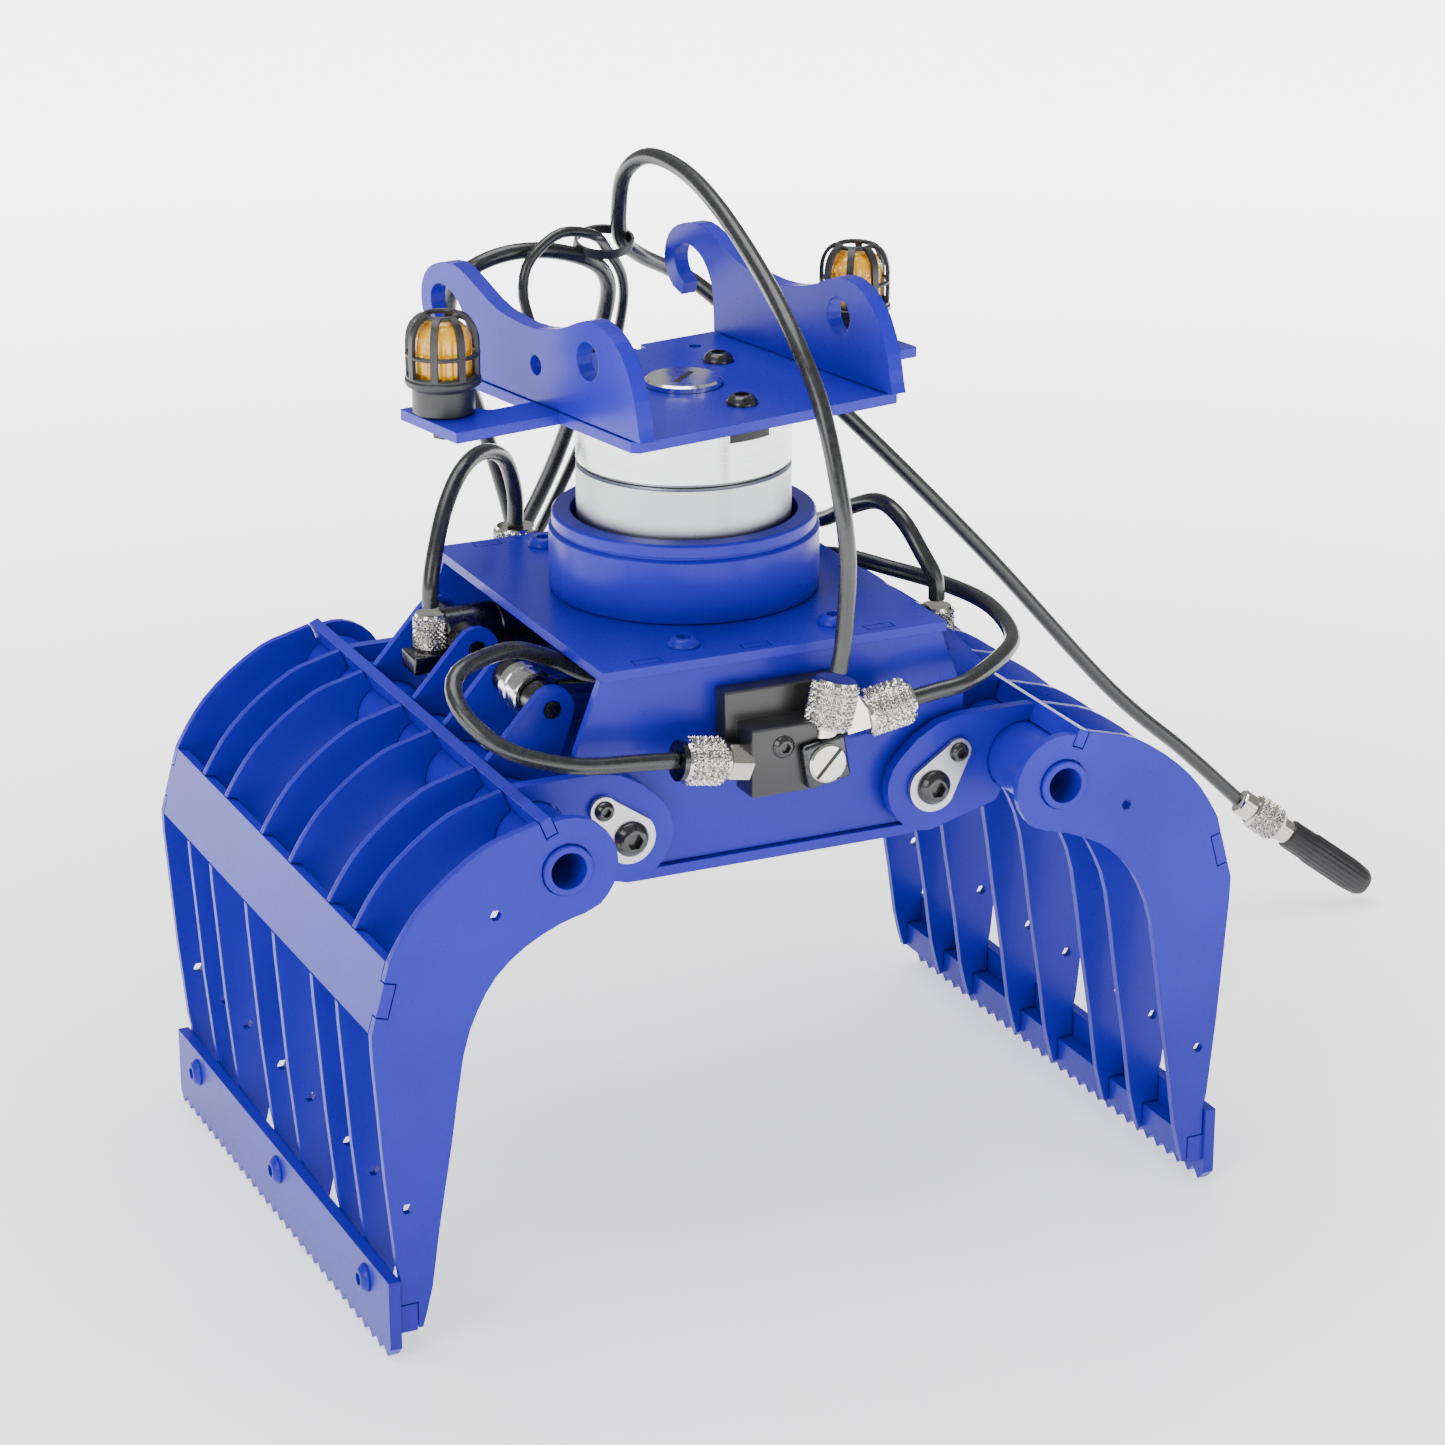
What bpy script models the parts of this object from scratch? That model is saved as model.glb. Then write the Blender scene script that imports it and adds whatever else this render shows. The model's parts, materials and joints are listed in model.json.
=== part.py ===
"""A model excavator's rotating sorting grapple: two slatted jaws on a frame, two cylinders that close
them, a rotator, and the hanger that pins it to the arm, with its hoses.

X is the way the jaws open, -Y is the front, +Z is up, and z = 0 is the teeth. Every dimension below is
in millimetres; the objects are built in metres.
"""

import math

import bmesh
import bpy
from mathutils import Matrix, Vector
from mathutils.geometry import delaunay_2d_cdt

MM = 0.001
GAP = 0.3  # between pieces that touch

# Jaws, drawn as the right-hand one, in X and Z
JAW_WIDTH = 150.0
PIVOT = (38.6, 107.2)
TUBE = (62.3, 110.8)
TUBE_RADIUS = 8.5
TUBE_BORE = 4.25
BOSS_RADIUS = 5.85
BOSS_PROUD = 1.0
HEAD_RADIUS = 12.2
SIDE_THICKNESS = 2.0
RIB_THICKNESS = 2.0
RIB_POSITIONS = (-52.7, -36.0, -9.85, 9.85, 36.0, 52.7)
LUG_THICKNESS = 3.0
LUG_RADIUS = 11.3
SCREW_HOLES = ((79.4, 102.9), (101.9, 36.3))
SCREW_HOLE_RADIUS = 1.35
WEB_ANGLE = math.radians(67.7)
WEB_THICKNESS = 2.6
WEB_TOP = 13.6
WEB_SLIT = 9.1
RIB_SLIT = 11.5
BAND_MIDDLE = (106.8, 87.7)
BAND_TILT = math.radians(15.4)
BAND_HALF_WIDTH = 8.45
BAND_TAB = 3.9
BAND_THICKNESS = 2.7
BLADE_X = (104.4, 107.2)
BLADE_TOP = 19.3
BLADE_HALF_WIDTH = 75.85
TOOTH_COUNT = 31
TOOTH_DEPTH = 2.5
BAR = (100.2, 104.9, 5.8, 12.5)
BACK_EDGE = ((75.5, 121.0), (81.4, 119.1), (89.8, 113.7), (97.0, 107.2), (101.6, 101.0))
LOWER_EDGE = ((108.9, 74.0), (106.8, 44.0), (104.9, 24.0), (104.1, 19.6))
INNER_EDGE = (
    (98.9, 6.3), (96.4, 16.0), (94.4, 30.0), (91.0, 50.0), (87.7, 71.0), (84.2, 81.0),
    (79.5, 88.5), (72.5, 94.3), (64.3, 98.2), (58.2, 99.8), (54.6, 101.4),
)
CYLINDER_PIN = (49.6, 133.7)
ARM_END_RADIUS = 5.5
PIN_RADIUS = 2.0

# Frame
TOP_PLATE = (43.4, 51.5, 143.7, 146.2)
PANEL_FACE = 49.5
PANEL_THICKNESS = 2.5
PANEL_CORNER = (49.3, 126.8)
PANEL_FOOT_RADIUS = 9.9
TAB_POSITIONS = (-31.0, -4.0, 27.5)
TAB_HALF_LENGTH = 3.2
BOTTOM_PLATE = (36.5, 50.8, 94.4, 97.0)
FRAME_SCREW = (19.0, 41.5)
PIVOT_PIN_RADIUS = 3.0

# Rotator
ROTATOR_RADIUS = 25.5
ROTATOR_WALL = 3.5
SEAM_Z = 177.1
COLLAR_INNER = 27.0
COLLAR_OUTER = 32.15
COLLAR_TOP = 165.3

# Hanger, in its own axes, turned about Z from the frame's
HANGER_TURN = math.radians(10.3)
HANGER_Z = (192.6, 195.2)
HANGER_HALF_LENGTH = 37.5
HANGER_Y = (-35.0, 35.5)
ARM_TIP = 65.3
EAR_INNER = 33.2
EAR_THICKNESS = 4.0
BEACON = (58.6, 11.5)
CAP_RADIUS = 9.2
CAP_TOP = 196.9

# Cylinders: s runs from the cap pin towards the rod
CYLINDER_Y = 22.9
BARREL_RADIUS = 6.5
BARREL = (-4.0, 68.0)
BORE_RADIUS = 4.8
BORE_START = 7.0
GLAND_LENGTH = 5.0
ROD_RADIUS = 3.0
ROD_LENGTH = 82.0
EYE_RADIUS = 5.8
EYE_HALF_WIDTH = 5.0
PIN_HALF_LENGTH = 14.3

# Hoses
HOSE_RADIUS = 2.0
HOSE_STEP = 7.0
NUT_RADIUS = 5.45
LEAD_RADIUS = 1.3

SLOTS = {
    "blue_paint": ((0.05, 0.07, 0.55), 0.3, 0.0),
    "aluminium": ((0.8, 0.8, 0.8), 0.35, 1.0),
    "gunmetal": ((0.08, 0.085, 0.09), 0.35, 0.8),
    "steel": ((0.6, 0.6, 0.6), 0.3, 1.0),
    "nickel": ((0.75, 0.73, 0.68), 0.25, 1.0),
    "black_block": ((0.01, 0.01, 0.012), 0.4, 0.3),
    "black_plastic": ((0.015, 0.015, 0.016), 0.45, 0.0),
    "amber_lens": ((0.8, 0.35, 0.02), 0.15, 0.0),
    "hose_rubber": ((0.02, 0.021, 0.022), 0.4, 0.0),
}


# ---------------------------------------------------------------- scene and materials

def clear_scene():
    for thing in list(bpy.data.objects):
        bpy.data.objects.remove(thing, do_unlink=True)


def new_collection(name):
    collection = bpy.data.collections.new(name)
    bpy.context.scene.collection.children.link(collection)
    return collection


def slot_material(slot):
    """The slot's Principled material, made once."""
    found = bpy.data.materials.get(slot)
    if found:
        return found
    colour, roughness, metallic = SLOTS[slot]
    made = bpy.data.materials.new(slot)
    made.use_nodes = True
    shader = made.node_tree.nodes["Principled BSDF"]
    shader.inputs["Base Color"].default_value = (*colour, 1.0)
    shader.inputs["Roughness"].default_value = roughness
    shader.inputs["Metallic"].default_value = metallic
    return made


clear_scene()
PARTS = new_collection("sorting_grapple")
HELPERS = new_collection("cutters")


def add_object(name, data, slot=None):
    """A visible piece where a slot is given, otherwise a hidden helper for a Boolean."""
    made = bpy.data.objects.new(name, data)
    if slot is None:
        HELPERS.objects.link(made)
        made.hide_render = True
        made.display_type = "WIRE"
    else:
        PARTS.objects.link(made)
        data.materials.append(slot_material(slot))
    return made


def add_axis(name, location, turn=0.0):
    """An empty on a joint's axis, for the pieces that move about it."""
    axis = bpy.data.objects.new(name, None)
    axis.matrix_world = Matrix.Translation(Vector(location) * MM) @ Matrix.Rotation(turn, 4, "Z")
    PARTS.objects.link(axis)
    return axis


def hang(piece, axis, own_axes=False):
    """Parents a piece to an axis. With own_axes it was drawn in the axis's own frame."""
    piece.parent = axis
    if not own_axes:
        piece.matrix_parent_inverse = axis.matrix_world.inverted()
    return piece


# ---------------------------------------------------------------- shapes

def frame_at(origin, along, across):
    """The matrix whose X is along, whose Y is across, and whose origin is in millimetres."""
    x_axis = Vector(along).normalized()
    y_axis = Vector(across).normalized()
    z_axis = x_axis.cross(y_axis)
    rows = Matrix((x_axis, y_axis, z_axis)).transposed().to_4x4()
    return Matrix.Translation(Vector(origin) * MM) @ rows


def facing(origin, direction):
    """The matrix whose Z runs along a direction."""
    turned_to = Vector(direction).normalized().to_track_quat("Z", "Y").to_matrix().to_4x4()
    return Matrix.Translation(Vector(origin) * MM) @ turned_to


def arc(centre, radius, start, end, steps):
    """Points on an arc, with its angles in degrees."""
    angles = [math.radians(start + (end - start) * i / steps) for i in range(steps + 1)]
    return [(centre[0] + radius * math.cos(a), centre[1] + radius * math.sin(a)) for a in angles]


def circle(centre, radius, steps=12):
    return arc(centre, radius, 0.0, 360.0 * (steps - 1) / steps, steps - 1)


def rectangle(x0, x1, y0, y1):
    return [(x0, y0), (x1, y0), (x1, y1), (x0, y1)]


def smooth(points, per_span):
    """Points along the smooth curve that passes through the given ones."""
    through = [Vector(point) for point in points]
    last = len(through) - 1
    found = []
    for i in range(last):
        a, b = through[max(i - 1, 0)], through[i]
        c, d = through[i + 1], through[min(i + 2, last)]
        for k in range(per_span):
            t = k / per_span
            bend = (2 * a - 5 * b + 4 * c - d) * t * t + (3 * b - a - 3 * c + d) * t ** 3
            found.append((2 * b + (c - a) * t + bend) / 2)
    return found + [through[-1]]


def in_a_hole(corners, holes):
    """Whether the middle of a triangle lies inside one of the holes."""
    x = sum(corner[0] for corner in corners) / 3
    y = sum(corner[1] for corner in corners) / 3
    for hole in holes:
        crossings = 0
        for (ax, ay), (bx, by) in zip(hole, hole[1:] + hole[:1]):
            if (ay > y) != (by > y) and x < ax + (y - ay) * (bx - ax) / (by - ay):
                crossings += 1
        if crossings % 2:
            return True
    return False


def plate_mesh(loops, thickness, place):
    """A flat plate: the first loop is its outline, the others are its holes."""
    points, edges = [], []
    for loop in loops:
        first, count = len(points), len(loop)
        points += [Vector(point) for point in loop]
        edges += [(first + i, first + (i + 1) % count) for i in range(count)]
    inside_outline = 1
    flat, _, faces, _, _, _ = delaunay_2d_cdt(points, edges, [], inside_outline, 1e-6)
    faces = [face for face in faces if not in_a_hole([flat[i] for i in face], loops[1:])]
    work = bmesh.new()
    corners = [work.verts.new((x * MM, y * MM, -thickness * MM / 2)) for x, y in flat]
    for face in faces:
        work.faces.new([corners[i] for i in face])
    made = bmesh.ops.extrude_face_region(work, geom=work.faces[:], use_keep_orig=True)
    lifted = [part for part in made["geom"] if isinstance(part, bmesh.types.BMVert)]
    bmesh.ops.translate(work, verts=lifted, vec=(0.0, 0.0, thickness * MM))
    bmesh.ops.recalc_face_normals(work, faces=work.faces)
    bmesh.ops.transform(work, matrix=place, verts=work.verts)
    mesh = bpy.data.meshes.new("plate")
    work.to_mesh(mesh)
    work.free()
    return mesh


def plate(name, loops, thickness, place, slot=None):
    return add_object(name, plate_mesh(loops, thickness, place), slot)


def turned(name, profile, place, slot=None, steps=24):
    """A turned piece. The profile is (radius, height), run down its outer side."""
    mesh = bpy.data.meshes.new(name)
    points = [(r * MM, 0.0, z * MM) for r, z in profile]
    mesh.from_pydata(points, [(i, i + 1) for i in range(len(points) - 1)], [])
    piece = add_object(name, mesh, slot)
    piece.matrix_world = place
    screw = piece.modifiers.new("turn", "SCREW")
    screw.steps = steps
    screw.render_steps = steps
    screw.use_merge_vertices = True
    screw.merge_threshold = 0.000001
    screw.use_smooth_shade = True
    return piece


def cylinder(name, radius, start, end, sides=16, slot=None):
    """A solid cylinder or prism between two points."""
    mesh = bpy.data.meshes.new(name)
    axis = Vector(end) - Vector(start)
    work = bmesh.new()
    bmesh.ops.create_cone(
        work, cap_ends=True, segments=sides, radius1=radius * MM, radius2=radius * MM,
        depth=axis.length * MM, matrix=facing((Vector(start) + Vector(end)) / 2, axis),
    )
    work.to_mesh(mesh)
    work.free()
    return add_object(name, mesh, slot)


def block(name, low, high, slot=None, turn=None):
    """A box between two corners, turned by a matrix about its own middle where one is given."""
    low, high = Vector(low), Vector(high)
    mesh = bpy.data.meshes.new(name)
    work = bmesh.new()
    size = Matrix.Diagonal(((high - low) * MM).to_4d())
    size[3][3] = 1.0
    place = Matrix.Translation((low + high) / 2 * MM) @ (turn or Matrix.Identity(4)) @ size
    bmesh.ops.create_cube(work, size=1.0, matrix=place)
    work.to_mesh(mesh)
    work.free()
    return add_object(name, mesh, slot)


def combine(piece, others, operation="UNION"):
    """Joins helpers to a piece, or cuts them from it."""
    for other in others:
        boolean = piece.modifiers.new(other.name, "BOOLEAN")
        boolean.operation = operation
        boolean.object = other
        boolean.solver = "EXACT"
    return piece


def route(points, spacing):
    """Evenly spaced points along the smooth curve through a route's own points."""
    dense = smooth(points, 16)
    lengths = [0.0]
    for a, b in zip(dense, dense[1:]):
        lengths.append(lengths[-1] + (b - a).length)
    count = max(2, round(lengths[-1] / spacing))
    found = []
    span = 0
    for i in range(count + 1):
        target = lengths[-1] * i / count
        while span < len(dense) - 2 and lengths[span + 1] < target:
            span += 1
        part = (target - lengths[span]) / (lengths[span + 1] - lengths[span])
        found.append(dense[span].lerp(dense[span + 1], min(part, 1.0)))
    return found


def hose(name, points, radius=HOSE_RADIUS, slot="hose_rubber", spacing=HOSE_STEP):
    """A round hose or lead along a route."""
    curve = bpy.data.curves.new(name, "CURVE")
    curve.dimensions = "3D"
    curve.bevel_depth = radius * MM
    curve.bevel_resolution = 2
    curve.use_fill_caps = True
    along = route(points, spacing)
    spline = curve.splines.new("POLY")
    spline.points.add(len(along) - 1)
    for point, place in zip(spline.points, along):
        point.co = (*(place * MM), 1.0)
    return add_object(name, curve, slot)


# ---------------------------------------------------------------- jaws

def web_point(out, inward):
    """A point out from the tube's centre along the web, and inward of the web's middle."""
    x = TUBE[0] + out * math.cos(WEB_ANGLE) - inward * math.sin(WEB_ANGLE)
    return (x, TUBE[1] + out * math.sin(WEB_ANGLE) + inward * math.cos(WEB_ANGLE))


def band_point(down, out):
    """A point down along the back band from its middle, and out from its outer face."""
    x = BAND_MIDDLE[0] + down * math.sin(BAND_TILT) + out * math.cos(BAND_TILT)
    return (x, BAND_MIDDLE[1] - down * math.cos(BAND_TILT) + out * math.sin(BAND_TILT))


WEB_SIDE = WEB_THICKNESS / 2 + GAP


def back_and_foot(notch_half, back_half):
    """The jaw's outline from the web, down its back and round its foot, with a notch for the band."""
    start = web_point(WEB_TOP, -WEB_SIDE)
    depth = -(BAND_THICKNESS + GAP)
    points = smooth([start, *BACK_EDGE, band_point(-back_half, 0)], 2)
    points += [band_point(-notch_half, 0), band_point(-notch_half, depth)]
    points += [band_point(notch_half, depth), band_point(notch_half, 0)]
    points += [band_point(back_half + 0.01, 0), *LOWER_EDGE]
    bar_side, bar_top = BAR[0] - GAP, BAR[3] + GAP
    points += [(LOWER_EDGE[-1][0], bar_top), (bar_side, bar_top), (bar_side, INNER_EDGE[0][1])]
    return [tuple(point) for point in points]


def inner_edge(last=None):
    return [tuple(point) for point in smooth(INNER_EDGE[:last], 2)]


def side_plate_outline():
    head = arc(TUBE, HEAD_RADIUS, 230.8, 75.3, 12)
    slit = [web_point(WEB_SLIT, WEB_SIDE), web_point(WEB_SLIT, -WEB_SIDE)]
    return head + slit + back_and_foot(BAND_TAB + GAP, BAND_HALF_WIDTH) + inner_edge(-1)


def outer_rib_outline():
    """The ribs in line with the lugs stop against the tube and the web."""
    clear = TUBE_RADIUS + GAP
    rest = arc(TUBE, clear, -81.0, 57.0, 8)
    notch = BAND_HALF_WIDTH + GAP
    return rest + back_and_foot(notch, notch + 0.02) + inner_edge(-2)


def arm_rib_outline():
    """The four middle ribs carry arms that hold the cylinder pins."""
    head = arc(TUBE, HEAD_RADIUS, 230.8, 165.0, 4)
    arm = arc(CYLINDER_PIN, ARM_END_RADIUS, 200.0, 35.0, 7)
    slit = [web_point(13.3, WEB_SIDE), web_point(RIB_SLIT, WEB_SIDE), web_point(RIB_SLIT, -WEB_SIDE)]
    notch = BAND_HALF_WIDTH + GAP
    return head + arm + slit + back_and_foot(notch, notch + 0.02) + inner_edge(-1)


def lug_outline():
    """The hinge lug: round about the pivot, and let onto the tube and the web."""
    top = 123.5
    head = arc(PIVOT, LUG_RADIUS, 135.0, 270.0, 8)
    foot = arc(TUBE, TUBE_RADIUS + GAP, 237.0, 78.5, 8)
    inside_web = web_point(13.2, 0.4)
    top_edge = [(64.3, top), (46.5, top), (40.6, 122.4), (34.9, 119.2)]
    return head + [(56.0, 100.6)] + foot + [inside_web] + top_edge


def mirrored(loop, side):
    return [(side * x, z) for x, z in loop]


def upright(y):
    """The plane of a plate that stands across the jaws, drawn in X and Z."""
    return frame_at((0.0, y, 0.0), (1, 0, 0), (0, 0, 1))


def blade_outline():
    pitch = 2 * BLADE_HALF_WIDTH / TOOTH_COUNT
    teeth = []
    for i in range(TOOTH_COUNT):
        start = -BLADE_HALF_WIDTH + i * pitch
        teeth += [(start, TOOTH_DEPTH), (start + pitch / 2, 0.0)]
    end = BLADE_HALF_WIDTH
    return teeth + [(end, TOOTH_DEPTH), (end, BLADE_TOP), (-end, BLADE_TOP)]


def web_outline():
    """Full width, with a tab into each side plate and a notch over each arm rib."""
    inside = JAW_WIDTH / 2 - SIDE_THICKNESS - GAP
    edge = JAW_WIDTH / 2
    bottom = TUBE_RADIUS + GAP
    tab_bottom = WEB_SLIT + GAP
    loop = [(-edge, WEB_TOP), (-edge, tab_bottom), (-inside, tab_bottom), (-inside, bottom)]
    half = RIB_THICKNESS / 2 + GAP
    notch = RIB_SLIT + GAP
    for y in RIB_POSITIONS[1:-1]:
        loop += [(y - half, bottom), (y - half, notch), (y + half, notch), (y + half, bottom)]
    return loop + [(inside, bottom), (inside, tab_bottom), (edge, tab_bottom), (edge, WEB_TOP)]


def band_outline():
    inside = JAW_WIDTH / 2 - SIDE_THICKNESS - GAP
    edge = JAW_WIDTH / 2
    half = BAND_HALF_WIDTH
    right = [(inside, -half), (inside, -BAND_TAB), (edge, -BAND_TAB), (edge, BAND_TAB), (inside, BAND_TAB)]
    left = [(-y, down) for y, down in reversed(right)]
    return right + [(inside, half), (-inside, half)] + left + [(-inside, -half)]


def make_jaw(jaw, side):
    """One jaw, all of it hung on its hinge axis."""
    axis = add_axis(f"{jaw}_axis", (side * PIVOT[0], 0.0, PIVOT[1]))
    pieces = []
    holes = [circle(centre, SCREW_HOLE_RADIUS, 6) for centre in SCREW_HOLES]
    boss_hole = circle(TUBE, BOSS_RADIUS + GAP, 16)
    tube_hole = circle(TUBE, TUBE_RADIUS + GAP, 16)
    pin_hole = circle(CYLINDER_PIN, PIN_RADIUS + GAP, 8)
    plate_y = (JAW_WIDTH - SIDE_THICKNESS) / 2
    for end, y in (("front", -plate_y), ("rear", plate_y)):
        loops = [mirrored(loop, side) for loop in [side_plate_outline(), boss_hole, *holes]]
        pieces.append(plate(f"{jaw}_{end}_side", loops, SIDE_THICKNESS, upright(y), "blue_paint"))
    for number, y in enumerate(RIB_POSITIONS, 1):
        loops = [outer_rib_outline(), holes[1]]
        if number not in (1, len(RIB_POSITIONS)):
            loops = [arm_rib_outline(), tube_hole, pin_hole, holes[1]]
        loops = [mirrored(loop, side) for loop in loops]
        pieces.append(plate(f"{jaw}_rib_{number}", loops, RIB_THICKNESS, upright(y), "blue_paint"))
    pieces.append(make_tube(jaw, side))
    pieces.append(make_bracket(jaw, side))
    outward = (side * math.sin(BAND_TILT), 0.0, -math.cos(BAND_TILT))
    middle = band_point(0.0, -BAND_THICKNESS / 2)
    place = frame_at((side * middle[0], 0.0, middle[1]), (0, 1, 0), outward)
    pieces.append(plate(f"{jaw}_back_band", [band_outline()], BAND_THICKNESS, place, "blue_paint"))
    pieces.append(make_blade(jaw, side))
    for piece in pieces:
        hang(piece, axis)
    return axis


def make_tube(jaw, side):
    """The cross tube, reduced at each end to the boss that stands through the side plate."""
    end = JAW_WIDTH / 2 + BOSS_PROUD
    shoulder = JAW_WIDTH / 2 - SIDE_THICKNESS - GAP
    profile = [
        (TUBE_BORE, end), (BOSS_RADIUS, end), (BOSS_RADIUS, shoulder), (TUBE_RADIUS, shoulder),
        (TUBE_RADIUS, -shoulder), (BOSS_RADIUS, -shoulder), (BOSS_RADIUS, -end), (TUBE_BORE, -end),
        (TUBE_BORE, end),
    ]
    place = facing((side * TUBE[0], 0.0, TUBE[1]), (0, 1, 0))
    return turned(f"{jaw}_cross_tube", profile, place, "blue_paint", 16)


def make_bracket(jaw, side):
    """The web along the tube, with the two hinge lugs welded to it."""
    radial = (side * math.cos(WEB_ANGLE), 0.0, math.sin(WEB_ANGLE))
    place = frame_at((side * TUBE[0], 0.0, TUBE[1]), (0, 1, 0), radial)
    web = plate(f"{jaw}_hinge_bracket", [web_outline()], WEB_THICKNESS, place, "blue_paint")
    loops = [lug_outline(), circle(PIVOT, PIVOT_PIN_RADIUS + GAP, 12)]
    loops = [mirrored(loop, side) for loop in loops]
    lugs = []
    for end, y in (("front", RIB_POSITIONS[0]), ("rear", RIB_POSITIONS[-1])):
        lugs.append(plate(f"{jaw}_{end}_lug_shape", loops, LUG_THICKNESS, upright(y)))
    return combine(web, lugs)


def make_blade(jaw, side):
    """The toothed blade on the bar that ties the ribs' tips together."""
    middle = sum(BLADE_X) / 2
    thickness = BLADE_X[1] - BLADE_X[0]
    place = frame_at((side * middle, 0.0, 0.0), (0, 1, 0), (0, 0, 1))
    blade = plate(f"{jaw}_blade", [blade_outline()], thickness, place, "blue_paint")
    xs = sorted((side * BAR[0], side * BAR[1]))
    edge = JAW_WIDTH / 2
    bar = block(f"{jaw}_bar_shape", (xs[0], -edge, BAR[2]), (xs[1], edge, BAR[3]))
    return combine(blade, [bar])


def make_pivot_pin(jaw, end, side, front, axis):
    """The hinge pin: its shank through lug and panel, its keeper plate and its domed head."""
    lug_face = abs(RIB_POSITIONS[0]) + LUG_THICKNESS / 2
    keeper = (lug_face + GAP, lug_face + GAP + 1.2)
    inner_end = PANEL_FACE - PANEL_THICKNESS - 0.6
    head = [(0.0, keeper[1] + 2.8), (2.4, keeper[1] + 2.4), (3.8, keeper[1] + 1.3), (4.2, keeper[1] + 0.3)]
    shank = [(4.2, keeper[0] + 0.2), (PIVOT_PIN_RADIUS, keeper[0] + 0.2), (PIVOT_PIN_RADIUS, inner_end)]
    place = facing((side * PIVOT[0], 0.0, PIVOT[1]), (0, front, 0))
    pin = turned(f"{jaw}_{end}_pivot_pin", head + shank + [(0.0, inner_end)], place, "black_block", 16)
    big = arc(PIVOT, 6.1, 150.0, 321.0, 9)
    small = arc((45.1, 114.9), 3.3, -39.0, 141.0, 6)
    y = front * sum(keeper) / 2
    outline = mirrored(big + small, side)
    shape = plate(f"{jaw}_{end}_keeper_shape", [outline], keeper[1] - keeper[0], upright(y))
    return hang(combine(pin, [shape]), axis)


# ---------------------------------------------------------------- frame

def panel_outline(tabs):
    """A frame panel: wider towards the pivots, rounded under them, with tabs up through the top plate."""
    top_half, _, plate_bottom, plate_top = TOP_PLATE
    shoulder = plate_bottom - GAP
    left = [(-top_half + 0.4, shoulder), (-PANEL_CORNER[0], PANEL_CORNER[1])]
    left += arc((-PIVOT[0], PIVOT[1]), PANEL_FOOT_RADIUS, 180.0, 270.0, 5)
    right = [(-x, z) for x, z in reversed(left)]
    edge = []
    for x in reversed(tabs):
        edge += [(x + TAB_HALF_LENGTH, shoulder), (x + TAB_HALF_LENGTH, plate_top)]
        edge += [(x - TAB_HALF_LENGTH, plate_top), (x - TAB_HALF_LENGTH, shoulder)]
    return left + right + edge


def make_frame():
    half, deep, bottom, top = TOP_PLATE
    slot_y = (PANEL_FACE - PANEL_THICKNESS - GAP, PANEL_FACE + GAP)
    loops = [rectangle(-half, half, -deep, deep)]
    for x in TAB_POSITIONS:
        slot = (x - TAB_HALF_LENGTH - GAP, x + TAB_HALF_LENGTH + GAP)
        loops += [rectangle(*slot, -slot_y[1], -slot_y[0]), rectangle(*slot, *slot_y)]
    flat = frame_at((0, 0, (top + bottom) / 2), (1, 0, 0), (0, 1, 0))
    plate("top_plate", loops, top - bottom, flat, "blue_paint")
    pin_holes = [circle((x, PIVOT[1]), PIVOT_PIN_RADIUS + GAP, 12) for x in (-PIVOT[0], PIVOT[0])]
    for end, front in (("front", -1), ("rear", 1)):
        y = front * (PANEL_FACE - PANEL_THICKNESS / 2)
        loops = [panel_outline(TAB_POSITIONS), *pin_holes]
        plate(f"{end}_panel", loops, PANEL_THICKNESS, upright(y), "blue_paint")
    half, deep, bottom, top = BOTTOM_PLATE
    flat = frame_at((0, 0, (top + bottom) / 2), (1, 0, 0), (0, 1, 0))
    plate("bottom_plate", [rectangle(-half, half, -deep, deep)], top - bottom, flat, "blue_paint")


def make_rotator(hanger_axis):
    seat = TOP_PLATE[3] + GAP
    upper = COLLAR_OUTER - 0.75
    collar = [
        (COLLAR_INNER, COLLAR_TOP), (upper, COLLAR_TOP), (upper, 162.3), (31.0, 162.0), (31.0, 161.7),
        (COLLAR_OUTER, 161.3), (COLLAR_OUTER, seat), (COLLAR_INNER, seat), (COLLAR_INNER, COLLAR_TOP),
    ]
    turned("collar_ring", collar, Matrix.Identity(4), "blue_paint", 32)
    inner = ROTATOR_RADIUS - ROTATOR_WALL
    rim = SEAM_Z - GAP / 2
    lower = [
        (0.0, 150.0), (inner, 150.0), (inner, rim), (ROTATOR_RADIUS, rim), (ROTATOR_RADIUS, seat),
        (0.0, seat),
    ]
    turned("rotator_lower", lower, Matrix.Identity(4), "aluminium", 32)
    motor = [(0.0, 187.0), (3.0, 187.0), (3.0, 172.0), (12.0, 171.6), (12.0, 150.3), (0.0, 150.3)]
    turned("slew_motor", motor, Matrix.Identity(4), "steel", 20)
    top = HANGER_Z[0] - GAP
    rim = SEAM_Z + GAP / 2
    hub = CAP_RADIUS + GAP
    upper_half = [
        (hub, top), (ROTATOR_RADIUS, top), (ROTATOR_RADIUS, rim), (inner, rim), (inner, 186.0),
        (hub, 186.0), (hub, top),
    ]
    piece = turned("rotator_upper", upper_half, Matrix.Identity(4), "aluminium", 32)
    hang(piece, hanger_axis, own_axes=True)
    bore = 3.0 + GAP
    shaft = [
        (0.0, CAP_TOP), (CAP_RADIUS - 0.4, CAP_TOP), (CAP_RADIUS, CAP_TOP - 0.4), (CAP_RADIUS, 179.0),
        (bore, 179.0), (bore, 188.0), (0.0, 188.0),
    ]
    hang(turned("slew_shaft", shaft, Matrix.Identity(4), "aluminium", 24), hanger_axis, own_axes=True)


# ---------------------------------------------------------------- hanger

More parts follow.
